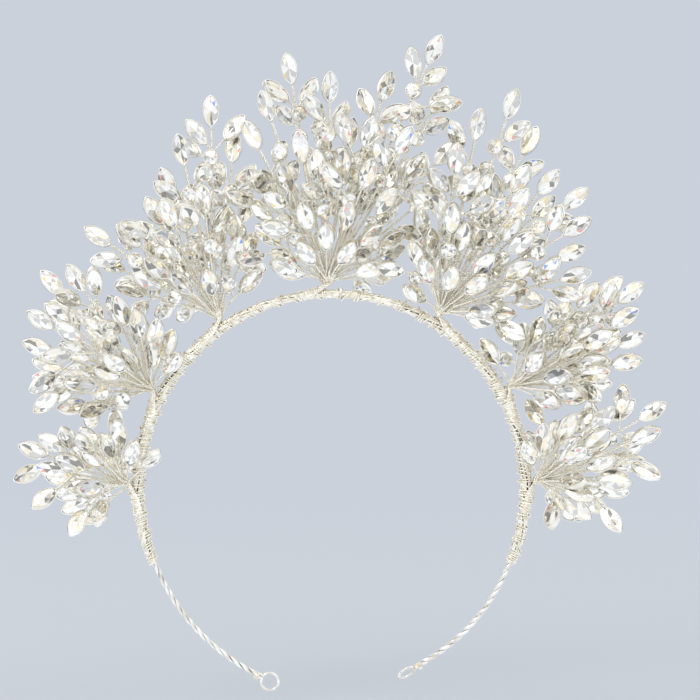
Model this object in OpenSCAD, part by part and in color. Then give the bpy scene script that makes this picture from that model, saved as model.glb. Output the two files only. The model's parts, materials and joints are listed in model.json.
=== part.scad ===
// Bridal tiara: a bound wire band that carries seven sprays of crystal twigs.
// Millimetres, +Z up, the front faces -Y. The origin is the centre of the band's circle.

/* [Band] */
// Radius of the band's centreline
band_radius = 66; // [60:0.5:80]
// Diameter of one band wire
band_wire = 0.8; // [0.7:0.05:0.9]
// Angle from the top where the bound part ends, each side
bound_angle = 113; // [110:1:118]
// Outside diameter of the bound stems between the centre and the upper sprays
bundle_top = 2.2; // [2.1:0.1:3.0]
// Outside diameter of the bound stems between the upper and the middle sprays
bundle_upper = 3.2; // [2.6:0.1:3.8]
// Outside diameter of the bound stems between the middle and the lower sprays
bundle_middle = 3.6; // [2.6:0.1:4.0]
// Outside diameter of the bound stems below the lower sprays
bundle_lower = 3.2; // [2.6:0.1:4.0]
// Outside diameter at the very end of the bound part
bundle_end = 2.3; // [2.1:0.1:2.8]

/* [Binding wire] */
// Diameter of the wire wound round the band
binding_wire = 0.3; // [0.2:0.05:0.4]
// Turns of binding wire between two sprays
binding_turns = 10; // [6:1:12]
// Turns of binding wire below the lower sprays
end_turns = 8; // [5:1:9]

/* [Tails] */
// Radius of the curve of the left bare tail
left_tail_radius = 78; // [66:1:90]
// Radius of the curve of the right bare tail
right_tail_radius = 74; // [66:1:90]
// Angle that the left bare tail sweeps
left_tail_sweep = 40; // [30:0.5:45]
// Angle that the right bare tail sweeps
right_tail_sweep = 38; // [30:0.5:45]
// Full turns of the two wires round each other in a tail
tail_turns = 6; // [4:1:8]
// Gap between the end of the binding and the bare tail, so that the tail can swing
tail_gap = 0.5; // [0.45:0.05:0.9]

/* [End loops] */
// Diameter of the hole of an end loop
loop_hole = 5.2; // [4:0.2:7]
// Diameter of the loop's wire
loop_wire = 0.9; // [0.7:0.1:1.1]
// Turn of the left loop about its tail, 0 is face on
left_loop_turn = 0; // [0:5:90]
// Turn of the right loop about its tail, 0 is face on
right_loop_turn = 75; // [0:5:90]

/* [Stones] */
// Length of a navette stone
navette_length = 10; // [8:0.5:12]
// Width of a navette stone
navette_width = 5; // [4:0.25:6]
// Diameter of a round stone
chaton_diameter = 4.6; // [3.5:0.1:5]
// Wall of a setting round its stone
setting_wall = 0.35; // [0.3:0.05:0.5]
// Depth of a setting from back to rim
setting_depth = 2; // [1.6:0.1:2.4]
// Height of a stone above the rim of its setting
crown_height = 1.2; // [0.6:0.1:1.6]

/* [Twigs] */
// Diameter of a twig's stem
stem_wire = 0.7; // [0.6:0.05:0.8]
// Diameter of the stalk of a side stone
stalk_wire = 0.6; // [0.4:0.05:0.7]
// Length of the stalk of a side stone
stalk_length = 1.6; // [1:0.1:3]
// Scale of all twig lengths
twig_scale = 1; // [0.8:0.05:1.2]
// Distance from a long twig's tip to its first group of side stones
first_group = 19; // [15:0.5:24]
// Distance between groups of side stones along a twig
group_spacing = 8; // [7:0.5:12]
// Angle between a side stone and its stem
side_angle = 31; // [25:1:40]
// Height of a spray's base above the band's centreline
neck_height = 4.5; // [4:0.1:6]
// Width of the stub between the band and a spray's base
neck_width = 3.6; // [3:0.1:4.2]
// Radius of the gathered wires at a spray's base
gather_radius = 6.4; // [5.6:0.1:8]
// Thickness of the gathered wires at a spray's base
gather_depth = 5.4; // [5:0.1:6]

/* [Hidden] */
// Clearance between pieces that sit on each other
seat = 0.05;
// Clearance between stones that lie next to each other
stone_gap = 0.15;
// Clearance round a wire
wire_gap = 0.08;
smooth = $preview ? 32 : 96;

NAVETTE = 0;
CHATON = 1;
navette_half = navette_length / 2 + setting_wall * 1.6;
navette_side = navette_width / 2 + setting_wall;
chaton_half = chaton_diameter / 2 + setting_wall;
// Distance from a navette's middle to the middle of its rounded end part
navette_core = navette_half - navette_side;
setting_back = -setting_depth * 0.65;
setting_floor = 0.35;
stone_height = setting_depth + crown_height;
core_radius = band_wire;
// Rings of a tube in one full turn of a wire
turn_rings = 8;
turn_slack = cos(180 / turn_rings);
// Distance of a tail's wire from the tail's centreline
strand_offset = band_wire / 2 / turn_slack + seat / 2;
// Depth of the worn flat on the inside of an end loop
loop_flat = 0.1;
// Half of the angle that a neck's fan of gathered wires spans
fan_angle = 85;
// Radius of a neck below its fan of stems
neck_foot = 4;
// Shortest stem between the gathered wires and a twig's tip stone
least_stem = 0.5;

// Name, angle from the top and twigs of each spray.
// A twig is [angle from upright, length, lean to the front].
SPRAYS = [
    ["lower_left", -89, [
        [-70, 39, -3], [-60, 34, 6], [-78, 31, 6], [-85, 28, -6], [-51, 29, -5], [-99, 24, 5], [-37, 25, 8],
        [-136, 19, 5], [-114, 21, -6], [-22, 22, 1], [-7, 19, 10], [16, 20, 36], [46, 20, 36],
        [-67, 26, 17], [-92, 21, 16], [-46, 22, 18], [-124, 19, -10], [-64, 24, -15], [-100, 20, -14], [-36, 20, -8],
        [-20, 20, 36], [-56, 20, 36], [-92, 20, 36],
        [-2, 27, 37], [-38, 27, 37], [-74, 27, 37],
        [-100, 22, 27], [-76, 30, 27], [-52, 27, 27], [-28, 22, 27], [-88, 26, -27], [-64, 30, -27], [-40, 24, -27]]],
    ["middle_left", -61.5, [
        [-43, 55, -3], [-33, 51, 6], [-58, 50, -4], [-69, 46, 5], [-50, 46, 7], [-77, 42, -6], [-84, 40, 5],
        [-94, 38, -6], [-103, 34, -12], [-24, 39, -4], [-19, 34, 9], [-8, 26, -1], [7, 25, 11], [22, 22, 3],
        [42, 21, 36], [80, 20, 38], [-62, 34, 15], [-80, 30, 14], [-41, 34, 15], [-94, 26, 6], [-4, 22, -5],
        [-110, 26, -3], [-65, 36, -13],
        [6, 20, 36], [-30, 20, 36], [-66, 20, 36], [-102, 20, 36],
        [24, 27, 37], [-12, 27, 37], [-48, 27, 37], [-84, 27, 37],
        [-96, 32, 27], [-76, 38, 27], [-52, 42, 27], [-30, 36, 27], [-8, 26, 27], [-88, 34, -27], [-64, 40, -27],
        [-40, 42, -27], [-16, 30, -27]]],
    ["upper_left", -33.5, [
        [-2, 75, -3], [-12, 63, 5], [5, 64, -10], [-21, 54, -4], [-31, 47, 6], [-57, 55, -6], [-65, 48, -13],
        [-74, 37, -9], [-40, 42, -6], [-48, 46, 3], [15, 44, -9], [24, 32, -13], [7, 52, 1], [-6, 46, 15],
        [-18, 42, 14], [-32, 34, 16], [33, 25, -6], [44, 22, -14], [60, 21, 34], [-52, 32, 13], [-64, 32, 3],
        [16, 32, 4], [-30, 44, -13],
        [24, 20, 36], [-12, 20, 36], [-48, 20, 36], [-84, 20, 36],
        [42, 27, 37], [6, 27, 37], [-30, 27, 37], [-66, 27, 37],
        [-70, 32, 27], [-48, 36, 27], [-24, 42, 27], [-2, 48, 27], [20, 32, 27], [57, 24, -12], [-60, 40, -27],
        [-36, 40, -27], [-8, 48, -27], [14, 36, -27]]],
    ["centre", -1.5, [
        [25, 92, -1], [-10, 79, -4], [32, 79, -7], [17, 75, -4], [1, 71, 2], [-19, 68, 4], [43, 66, -9],
        [-27, 61, 8], [9, 57, -7], [16, 58, 7], [-35, 47, 10], [50, 48, -6], [-43, 38, 4], [38, 54, 2],
        [29, 60, 8], [-11, 52, 9], [-4, 46, 16], [8, 46, 14], [-22, 44, 15], [21, 46, 17], [-52, 31, 10],
        [58, 36, 2], [-62, 26, 3], [66, 31, -8], [76, 25, 2], [85, 20, -6], [-76, 19, 8], [37, 40, 14],
        [-2, 58, -13], [-31, 44, -4],
        [-72, 20, 36], [-36, 20, 36], [0, 20, 36], [36, 20, 36], [72, 20, 36],
        [-54, 27, 37], [-18, 27, 37], [18, 27, 37], [54, 27, 37],
        [-89, 21, 10], [-42, 27, 18], [-14, 29, 19], [14, 29, 19], [44, 28, 18], [64, 24, 14]]],
    ["upper_right", 31.5, [
        [19, 80, -2], [11, 70, 5], [28, 72, -7], [5, 59, 10], [40, 63, -3], [50, 65, 3], [58, 60, 7],
        [31, 58, 4], [45, 57, -11], [75, 53, 8], [66, 54, -1], [-1, 46, 4], [-12, 37, 9], [-23, 27, 12],
        [19, 50, 12], [35, 52, 14], [83, 36, 13], [-35, 22, 6], [-56, 19, 36], [49, 42, 14], [62, 36, 15],
        [6, 40, 18], [72, 32, -9], [-14, 26, -1], [56, 44, -8], [12, 54, -7], [40, 42, 6],
        [92, 26, 6], [101, 20, 13], [0, 42, -3], [24, 36, -12],
        [-20, 20, 36], [16, 20, 36], [52, 20, 36], [88, 20, 36],
        [-2, 27, 37], [34, 27, 37], [70, 27, 37], [108, 27, 37],
        [112, 20, 36], [-8, 26, 18], [16, 29, 19], [42, 29, 19], [70, 27, 18], [88, 24, -14]]],
    ["middle_right", 60.5, [
        [52, 57, -3], [46, 54, -10], [40, 46, -3], [58, 50, 5], [69, 49, -4], [64, 43, -11], [66, 40, 8],
        [78, 45, 4], [88, 34, 9], [35, 36, -11], [100, 26, 12], [112, 20, 34], [-69, 20, 38], [73, 34, 16],
        [55, 38, 14], [24, 26, -8], [85, 28, -5], [45, 30, 6], [97, 22, 4], [10, 22, -12], [77, 30, -13],
        [-6, 19, -6], [108, 19, 10], [60, 30, -16], [34, 24, 3],
        [76, 20, 36], [40, 20, 36], [4, 20, 36],
        [94, 27, 37], [58, 27, 37], [22, 27, 37],
        [-33, 20, -18], [100, 24, 27], [80, 36, 27], [60, 40, 27], [38, 34, 27], [18, 24, 27], [90, 30, -27],
        [68, 38, -27], [46, 40, -27], [24, 26, -27]]],
    ["lower_right", 88, [
        [59, 51, -3], [52, 45, -10], [66, 45, 4], [71, 38, -6], [46, 36, -2], [38, 32, -9], [79, 37, 3],
        [88, 31, -6], [97, 31, 6], [114, 26, -3], [126, 22, 6], [139, 19, -5], [28, 26, -2], [17, 22, -9],
        [5, 20, -3], [-22, 19, 38], [72, 28, 15], [54, 30, 8], [106, 21, 16], [40, 24, 9], [89, 22, 18],
        [62, 30, -16], [100, 24, -14], [128, 20, 8], [18, 19, -10], [48, 24, -18],
        [14, 20, 36], [50, 20, 36], [86, 20, 36],
        [32, 27, 37], [68, 27, 37], [104, 27, 37],
        [90, 28, 27], [68, 36, 27], [44, 30, 27], [22, 22, 27], [104, 26, -27], [80, 32, -27],
        [54, 36, -27], [30, 26, -27]]]
];

// Planes between neighbouring sprays: [angle from the top on the band, angle from upright, slant in depth]
BOUNDS = [
    [-68, -95, 35], [-38.5, -61, 35], [-21.5, -7, -40],
    [15, 25, -40], [43.5, 60, 40], [69.3, 77, 30]];

PIECES = ["neck", "stems", "stalks", "navettes", "navette_settings", "chatons", "chaton_settings"];
SIDES = ["left", "right"];
HALF_PIECES = ["bundle", "binding", "tail_wires", "end_loop", "loop_tie"];

// Plain vector helpers
function unit(v) = v / norm(v);
function turned(v, k, a) = v * cos(a) + cross(k, v) * sin(a) + k * (k * v) * (1 - cos(a));
function wobble(i) = 2 * (i * 0.618034 - floor(i * 0.618034)) - 1;
function upright(a) = [sin(a), 0, cos(a)];
function on_band(a) = band_radius * upright(a);
// Radius of the centreline of a wire wound round a rod of diameter d
function wound_radius(d) = (d / 2 + binding_wire / 2) / turn_slack + seat;

// Frame of a spray and of a twig
function spray_base(k) = (band_radius + neck_height) * upright(SPRAYS[k][1]);
function twig_axis(t) = [sin(t[0]) * cos(t[2]), -sin(t[2]), cos(t[0]) * cos(t[2])];
function front_of(d) = unit([0, -1, 0] + d * d.y);
function twig_length(t) = t[1] * twig_scale;
// A stem leaves the gathered wires through their rim or, if it leans far, through their front
function gather(k) = k % 6 == 0 ? gather_radius * 0.88 : gather_radius;
function stem_start(k, t) = let (lean = max(abs(t[2]), 1), r = stem_wire / 2) min(
    (gather(k) + seat + r * sin(lean)) / cos(lean),
    (gather_depth / 2 + seat + r * cos(lean)) / sin(lean));
function stem_end(t) = twig_length(t) - 2 * navette_half - seat;
function stem_line(k, t) = let (d = twig_axis(t), b = spray_base(k))
    [b + d * stem_start(k, t), b + d * stem_end(t)];

// Side stones sit in groups along the stem, from the tip towards the base
function group_at(t, rank) = twig_length(t)
    - (twig_length(t) > 40 ? first_group : first_group - 5) - (rank - 1) * group_spacing;

// A box round a piece: [centre, three axes, three half sizes]
function box_of(c, a, n, half, gap) = [c, [cross(a, n), a, n], half + [1, 1, 1] * gap / 2];
function navette_boxes(c, a, n) = let (m = c + n * (setting_back + stone_height / 2)) [
    box_of(m, a, n, [navette_side, navette_half * 0.74, stone_height / 2], stone_gap),
    box_of(m, a, n, [navette_side * 0.53, navette_half, stone_height / 2], stone_gap)];
function wire_box(from, to, d) = let (a = unit(to - from))
    box_of((from + to) / 2, a, front_of(a), [d / 2, norm(to - from) / 2, d / 2], wire_gap);

// A stone: [kind, centre, long axis, facing, stalk from, stalk to, boxes]
function tip_stone(k, t, roll) = let (
        d = twig_axis(t),
        c = spray_base(k) + d * (twig_length(t) - navette_half),
        n = turned(front_of(d), d, roll)
    ) [NAVETTE, c, d, n, [], [], navette_boxes(c, d, n)];

function side_stone(k, t, s, hand, spread, lift, roll, stalk) = let (
        d = twig_axis(t),
        flat = turned(d, front_of(d), hand * spread),
        a = unit(flat + front_of(d) * lift),
        p = spray_base(k) + d * s,
        start = (stem_wire / 2 + seat + stalk_wire / 2 * cos(spread)) / sin(spread),
        tip = start + stalk,
        c = p + a * (tip + seat + navette_half),
        n = turned(front_of(a), a, roll)
    ) [NAVETTE, c, a, n, p + a * start, p + a * tip,
       concat(navette_boxes(c, a, n), [wire_box(p + a * start, p + a * tip, stalk_wire)])];

function group_chaton(k, t, s, roll) = let (
        d = twig_axis(t),
        n = turned(front_of(d), d, roll),
        c = spray_base(k) + d * s + n * (stem_wire / 2 + seat - setting_back),
        m = c + n * (setting_back + stone_height / 2)
    ) [CHATON, c, d, n, [], [], [box_of(m, d, n, [chaton_half, chaton_half, stone_height / 2], stone_gap)]];

function side_chaton(k, t, s, hand, spread, lift, roll, stalk) = let (
        d = twig_axis(t),
        a = unit(turned(d, front_of(d), hand * spread) + front_of(d) * lift),
        p = spray_base(k) + d * s,
        start = (stem_wire / 2 + seat + stalk_wire / 2 * cos(spread)) / sin(spread),
        tip = start + stalk,
        n = turned(front_of(a), a, roll),
        c = p + a * (tip + seat + chaton_half),
        m = c + n * (setting_back + stone_height / 2)
    ) [CHATON, c, a, n, p + a * start, p + a * tip, [
        box_of(m, a, n, [chaton_half, chaton_half, stone_height / 2], stone_gap),
        wire_box(p + a * start, p + a * tip, stalk_wire)]];

// Places on a twig, each with the ways a stone may sit there, the plainest first.
// A way is [change of spread, lift to the front, roll, extra stalk].
WAYS = [
    [0, 0, 0, 0], [8, 0.3, 20, 0], [-5, -0.3, -20, 0], [16, 0.55, 35, 0.8], [4, -0.6, -35, 0.8],
    [26, 0.8, 10, 1.5], [12, -0.9, 15, 1.5], [0, 0.4, -10, 4], [14, -0.4, 10, 4], [24, 0.9, 30, 5],
    [10, 1.2, 0, 3], [20, -1.2, 0, 4], [4, 0.2, 15, 7], [18, 0.5, -15, 7], [30, -0.2, 0, 6]];
ROLLS = [0, 22, -22, 42, -42];
function twig_places(k, t, i, rank) = let (
        seed = 37 * k + 11 * i + 5 * rank,
        s = group_at(t, rank)
    ) s < stem_start(k, t) + 0.5 || t[2] > 33 ? []
    : concat(
        [[for (r = ROLLS) group_chaton(k, t, s - 2.4, 24 * wobble(seed + 4) + r)]],
        [for (h = [1, -1]) [for (w = WAYS) side_stone(k, t, s - (h < 0 ? 1 : 0), h,
            side_angle + 6 * wobble(seed + h) + w[0], 0.25 * wobble(seed * 3 + h) + w[1],
            26 * wobble(seed * 2 + h) + w[2], stalk_length + w[3])]]);

// Single navettes between the groups of side stones
function between_places(k, t, i, rank) = let (
        seed = 41 * k + 17 * i + 3 * rank,
        s = group_at(t, rank) + group_spacing / 2
    ) s < stem_start(k, t) + 0.5 || s > stem_end(t) || t[2] > 33 ? []
    : [for (h = [-1, 1]) [for (w = WAYS) if (w[3] < 5) side_stone(k, t, s, h,
        side_angle + 9 + 6 * wobble(seed + h) + w[0], 0.45 * h + 0.25 * wobble(seed * 3 + h) + w[1],
        26 * wobble(seed * 2 + h) + w[2], stalk_length + w[3])]];

// Small round stones fill what room is left between the others
function filler_places(k, t, i, rank) = let (
        seed = 29 * k + 13 * i + 7 * rank,
        s = group_at(t, rank) - 3
    ) s < stem_start(k, t) + 0.5 || t[2] > 33 ? []
    : [for (h = [1, -1]) [for (w = WAYS) if (w[3] < 5) side_chaton(k, t, s, h, side_angle + 12 + w[0],
        0.25 * wobble(seed * 3 + h) + w[1], 26 * wobble(seed * 2 + h) + w[2], stalk_length + w[3])]];

// Two boxes are clear of each other if some direction parts them
function span(b, l) = abs(b[1][0] * l) * b[2][0] + abs(b[1][1] * l) * b[2][1] + abs(b[1][2] * l) * b[2][2];
function parted(a, b, ls) = len([for (l = ls) if (abs((b[0] - a[0]) * l) > span(a, l) + span(b, l)) 1]) > 0;
function box_clear(a, b) = norm(b[0] - a[0]) > norm(a[2]) + norm(b[2])
    || parted(a, b, a[1]) || parted(a, b, b[1])
    || parted(a, b, [for (p = a[1]) for (q = b[1]) cross(p, q)]);
function stone_clear(a, b) = norm(a[1] - b[1]) > 4 * navette_half
    || len([for (p = a[6]) for (q = b[6]) if (!box_clear(p, q)) 1]) == 0;
function stems_clear(it, own, stems) =
    len([for (j = [0:1:len(stems) - 1]) if (j != own) for (p = it[6]) if (!box_clear(p, stems[j])) 1]) == 0;

// A stone and its stalk keep to their own side of the lines between sprays, off the band, and outside the
// gathered wires' rim or in front of them or behind
function marks(it) = it[0] == NAVETTE
    ? [it[1] - navette_core * it[2], it[1], it[1] + navette_core * it[2]] : [it[1]];
function reach(it) = it[0] == NAVETTE ? navette_side : chaton_half;
function bound_way(b) = [cos(b[1]) * cos(b[2]), sin(b[2]), -sin(b[1]) * cos(b[2])];
function past_bound(x, b) = let (w = bound_way(b)) [(x[0] - on_band(b[0])) * w, span(x, w)];
function in_bounds(k, it) =
    (k == 0 || len([for (x = it[6]) let (f = past_bound(x, BOUNDS[k - 1])) if (f[0] < f[1]) 1]) == 0)
    && (k == 6 || len([for (x = it[6]) let (f = past_bound(x, BOUNDS[k])) if (-f[0] < f[1]) 1]) == 0);
function band_far(p) = norm([norm([p.x, p.z]) - band_radius, p.y]);
function off_band(it) = min([for (p = marks(it)) band_far(p)])
    > wound_radius(bundle_middle) + binding_wire / 2 + reach(it) + stone_gap;
function off_neck(k, it) = len([for (x = it[6]) let (
        c = x[0] - spray_base(k),
        u = unit([c.x, 0, c.z])
    ) if (abs(c.y) - span(x, [0, 1, 0]) < gather_depth / 2 + wire_gap
        && c * u - span(x, u) < gather(k) + wire_gap) 1]) == 0;

function fits(k, it, own, stems, kept) = in_bounds(k, it) && off_band(it) && off_neck(k, it)
    && stems_clear(it, own, stems) && len([for (b = kept) if (!stone_clear(it, b)) 1]) == 0;
function first_fit(k, ways, own, stems, kept, v = 0) = v == len(ways) ? []
    : fits(k, ways[v], own, stems, kept) ? [ways[v]]
    : first_fit(k, ways, own, stems, kept, v + 1);

// Twigs are grown in the order listed, and one that has no room is left out: [twig, stem box, tip stone]
function stem_box(k, t) = let (l = stem_line(k, t)) wire_box(l[0], l[1], stem_wire);
function stem_fits(k, x, grown) = len([for (g = grown) for (q = g[2][6]) if (!box_clear(x, q)) 1]) == 0
    && len([for (g = grown) if (!box_clear(x, g[1])) 1]) == 0;
// A twig without room is tried with another lean, or a little shorter or longer.
// Outside the fan of the gathered wires, it leaves them near their plane or well in front.
function tries(k, t) = [for (lean = [0, 6, -6, 11, -11]) for (more = [0, -4, 4]) let (l = t[2] + lean)
    if (abs(t[0] - SPRAYS[k][1]) < fan_angle - 5 || abs(l) < 19.5 || abs(l) > 33) [t[0], t[1] + more, l]];
function first_twig(k, list, seed, grown, v = 0) = v == len(list) ? []
    : let (
        x = stem_box(k, list[v]),
        tip = stem_end(list[v]) > stem_start(k, list[v]) + least_stem && stem_fits(k, x, grown)
            ? first_fit(k, [for (r = ROLLS) tip_stone(k, list[v], 22 * wobble(seed) + r)],
                -1, [for (g = grown) g[1]], [for (g = grown) g[2]])
            : []
    ) tip == [] ? first_twig(k, list, seed, grown, v + 1) : [[list[v], x, tip[0]]];
function grown_twigs(k, i = 0, grown = []) = i == len(SPRAYS[k][2]) ? grown
    : grown_twigs(k, i + 1, concat(grown, first_twig(k, tries(k, SPRAYS[k][2][i]), 37 * k + 11 * i, grown)));

// Side stones are taken from the tips inwards, and a place with no room is left empty
function taken(k, places, stems, i, kept) = i == len(places) ? kept
    : taken(k, places, stems, i + 1,
        concat(kept, first_fit(k, places[i][1], places[i][0], stems, kept)));
function spray_stones(k, twigs) = let (
        n = len(twigs),
        stems = [for (g = twigs) g[1]],
        ranks = [1:8],
        places = [for (rank = ranks) for (i = [0:n - 1])
            for (w = twig_places(k, twigs[i][0], i, rank)) [i, w]],
        between = [for (rank = [2:8]) for (i = [0:n - 1])
            for (w = between_places(k, twigs[i][0], i, rank)) [i, w]],
        fillers = [for (rank = ranks) for (i = [0:n - 1])
            for (w = filler_places(k, twigs[i][0], i, rank)) [i, w]]
    ) taken(k, concat(places, between, fillers), stems, 0, [for (g = twigs) g[2]]);
function of_kind(stones, kind) = [for (it = stones) if (it[0] == kind) it];

// Outline of a navette: two equal arcs that meet in points
module navette_outline(half, side) {
    r = (half * half + side * side) / (2 * side);
    intersection() {
        translate([r - side, 0])
            circle(r = r, $fn = smooth);
        translate([side - r, 0])
            circle(r = r, $fn = smooth);
    }
}

module placed(it) {
    b = cross(it[2], it[3]);
    multmatrix([
        [b.x, it[2].x, it[3].x, it[1].x],
        [b.y, it[2].y, it[3].y, it[1].y],
        [b.z, it[2].z, it[3].z, it[1].z],
        [0, 0, 0, 1]])
        children();
}

module straight_wire(from, to, d) {
    w = unit(to - from);
    u = unit(cross(w, abs(w.y) < 0.9 ? [0, 1, 0] : [1, 0, 0]));
    v = cross(w, u);
    multmatrix([
        [u.x, v.x, w.x, from.x],
        [u.y, v.y, w.y, from.y],
        [u.z, v.z, w.z, from.z],
        [0, 0, 0, 1]])
        cylinder(h = norm(to - from), d = d, $fn = smooth);
}

// One stone: straight girdle in the setting, sloping crown with a flat table above it
module navette_stone() {
    low = setting_back + setting_floor + seat;
    rim = setting_back + setting_depth;
    half = navette_half - setting_wall * 1.6 - seat * 1.6;
    side = navette_side - setting_wall - seat;
    intersection() {
        translate([0, 0, low])
            linear_extrude(height = rim + crown_height - low)
                navette_outline(half, side);
        rotate([90, 0, 0])
            linear_extrude(height = 3 * half, center = true)
                polygon([
                    [-side * 1.2, low - 1], [side * 1.2, low - 1], [side * 1.2, rim],
                    [side * 0.4, rim + crown_height], [-side * 0.4, rim + crown_height],
                    [-side * 1.2, rim]]);
    }
}

module navette_setting() {
    translate([0, 0, setting_back])
        difference() {
            linear_extrude(height = setting_depth)
                navette_outline(navette_half, navette_side);
            translate([0, 0, setting_floor])
                linear_extrude(height = setting_depth)
                    navette_outline(navette_half - setting_wall * 1.6, navette_side - setting_wall);
        }
}

module chaton_stone() {
    low = setting_back + setting_floor + seat;
    rim = setting_back + setting_depth;
    r = chaton_half - setting_wall - seat;
    rotate_extrude($fn = smooth)
        polygon([[0, low], [r, low], [r, rim], [r * 0.55, rim + crown_height], [0, rim + crown_height]]);
}

module chaton_setting() {
    r = chaton_half;
    in = chaton_half - setting_wall;
    low = setting_back + setting_floor;
    rim = setting_back + setting_depth;
    rotate_extrude($fn = smooth)
        polygon([[0, setting_back], [r, setting_back], [r, rim], [in, rim], [in, low], [0, low]]);
}

// A round tube along a list of points, with the ring's first direction given at each point
module tube(points, outs, d, sides) {
    n = len(points);
    ring = [for (i = [0:n - 1]) let (
            t = unit(points[min(i + 1, n - 1)] - points[max(i - 1, 0)]),
            u = unit(outs[i] - t * (t * outs[i])),
            v = cross(t, u)
        ) for (j = [0:sides - 1]) let (w = 360 * j / sides)
            points[i] + d / 2 * (u * cos(w) + v * sin(w))];
    walls = [for (i = [0:n - 2]) for (j = [0:sides - 1]) let (
            a = i * sides + j,
            b = i * sides + (j + 1) % sides
        ) each [[a, b + sides, b], [a, a + sides, b + sides]]];
    ends = [
        [for (j = [0:sides - 1]) j],
        [for (j = [0:sides - 1]) n * sides - 1 - j]];
    polyhedron(points = ring, faces = concat(walls, ends));
}

// Part of a ring round the band's centre, from one angle to another
module band_arc(from, to, inner, outer) {
    rotate([90, 0, 0])
        rotate([0, 0, 90 - to])
            rotate_extrude(angle = to - from, $fn = smooth)
                translate([band_radius, 0])
                    difference() {
                        circle(r = outer);
                        circle(r = inner);
                    }
}

// Stretches of the bound band on one half: [from, to, diameter], angles from the top
function stretches(hand) = let (
        a = [for (k = [3 + hand, 3 + 2 * hand, 3 + 3 * hand]) abs(SPRAYS[k][1])],
        c = SPRAYS[3][1] * hand
    ) [[c, a[0], bundle_top], [a[0], a[1], bundle_upper], [a[1], a[2], bundle_middle],
       [a[2], bound_angle - 5, bundle_lower], [bound_angle - 5, bound_angle, bundle_end]];

module band_core() {
    color("Silver")
        rotate([90, 0, 0])
            rotate([0, 0, 90 - bound_angle])
                rotate_extrude(angle = 2 * bound_angle, $fn = smooth)
                    translate([band_radius, 0])
                        circle(r = core_radius);
}

module bundle(hand) {
    part_gap = 0.03;
    color("Gainsboro")
        for (s = stretches(hand)) {
            from = s[0] + part_gap;
            to = s[1] - part_gap;
            if (hand > 0) band_arc(from, to, core_radius + seat, s[2] / 2);
            else band_arc(-to, -from, core_radius + seat, s[2] / 2);
        }
}

// A winding: turns round the band from one angle to another
function winding(from, to, d, turns) = let (
        r = wound_radius(d),
        n = turns * turn_rings
    ) [for (i = [0:n]) let (
            a = from + (to - from) * i / n,
            w = 360 * i / turn_rings,
            o = upright(a) * cos(w) + [0, 1, 0] * sin(w)
        ) [on_band(a) + o * r, o]];

function winding_list(hand) = [for (i = [0:3]) let (
        s = stretches(hand)[i],
        lead = 3.4,
        far_end = i == 3 ? bound_angle - 5.6 : s[1] - lead
    ) winding(hand * (s[0] + lead), hand * far_end, s[2], i == 3 ? end_turns : binding_turns)];

// Least distance between turns that follow each other, less the wire
function winding_gap(w) = min([for (i = [0:len(w) - turn_rings - 1])
    norm(w[i][0] - w[i + turn_rings][0])]) - binding_wire;

module binding(hand) {
    color("WhiteSmoke")
        for (w = winding_list(hand))
            tube([for (p = w) p[0]], [for (p = w) p[1]], binding_wire, 5);
}

// A bare tail leaves the bound part along its tangent
function tail_radius(hand) = hand < 0 ? left_tail_radius : right_tail_radius;
function tail_centre(hand) = (band_radius - tail_radius(hand)) * upright(hand * bound_angle);
function tail_from(hand) = bound_angle + tail_gap / tail_radius(hand) * 180 / PI;
function tail_to(hand) = bound_angle + (hand < 0 ? left_tail_sweep : right_tail_sweep);
function tail_out(hand, f) = upright(hand * (tail_from(hand) + (tail_to(hand) - tail_from(hand)) * f));
function tail_point(hand, f) = tail_centre(hand) + tail_radius(hand) * tail_out(hand, f);
function tail_way(hand) = let (a = hand * tail_to(hand)) hand * [cos(a), 0, -sin(a)];

module tail_wires(hand) {
    steps = tail_turns * turn_rings;
    color("Silver")
        for (half = [0, 180]) {
            way = [for (i = [0:steps]) let (
                    f = i / steps,
                    w = 360 * i / turn_rings + half,
                    o = tail_out(hand, f) * cos(w) + [0, 1, 0] * sin(w)
                ) tail_point(hand, f) + o * strand_offset];
            tube(way, [for (i = [0:steps]) tail_out(hand, i / steps)], band_wire, 6);
        }
}

function loop_centre(hand) = tail_point(hand, 1)
    + tail_way(hand) * (loop_hole / 2 + loop_wire - loop_flat + seat);
// Axis of a loop's hole
function loop_axis(hand) = turned([0, -1, 0], tail_way(hand), hand < 0 ? left_loop_turn : right_loop_turn);

module end_loop(hand) {
    n = loop_axis(hand);
    a = tail_way(hand);
    color("Silver")
        placed([0, loop_centre(hand), a, n])
            rotate_extrude($fn = smooth)
                intersection() {
                    translate([loop_hole / 2 + loop_wire / 2 - loop_flat, 0])
                        circle(d = loop_wire);
                    translate([loop_hole / 2, -loop_wire])
                        square([2 * loop_wire, 2 * loop_wire]);
                }
}

module loop_tie(hand) {
    turns = 3;
    pitch = 0.85;
    steps = turns * turn_rings;
    r = wound_radius(2 * strand_offset + band_wire);
    a = tail_way(hand);
    o = tail_out(hand, 1);
    way = [for (i = [0:steps]) let (
            w = 360 * i / turn_rings,
            side = o * cos(w) + [0, 1, 0] * sin(w)
        ) [tail_point(hand, 1) - a * (0.4 + pitch * turns * (1 - i / steps)) + side * r, side]];
    color("WhiteSmoke")
        tube([for (p = way) p[0]], [for (p = way) p[1]], binding_wire, 6);
}

// Sprays
module neck_outline(k) {
    r = gather(k);
    circle(r = neck_foot, $fn = smooth);
    translate([-neck_width / 2, -neck_height])
        square([neck_width, neck_height]);
    intersection() {
        circle(r = r, $fn = smooth);
        polygon([
            [0, 0], 2 * r * [sin(fan_angle), cos(fan_angle)], 2 * r * [1, 2],
            2 * r * [-1, 2], 2 * r * [-sin(fan_angle), cos(fan_angle)]]);
    }
}

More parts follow.
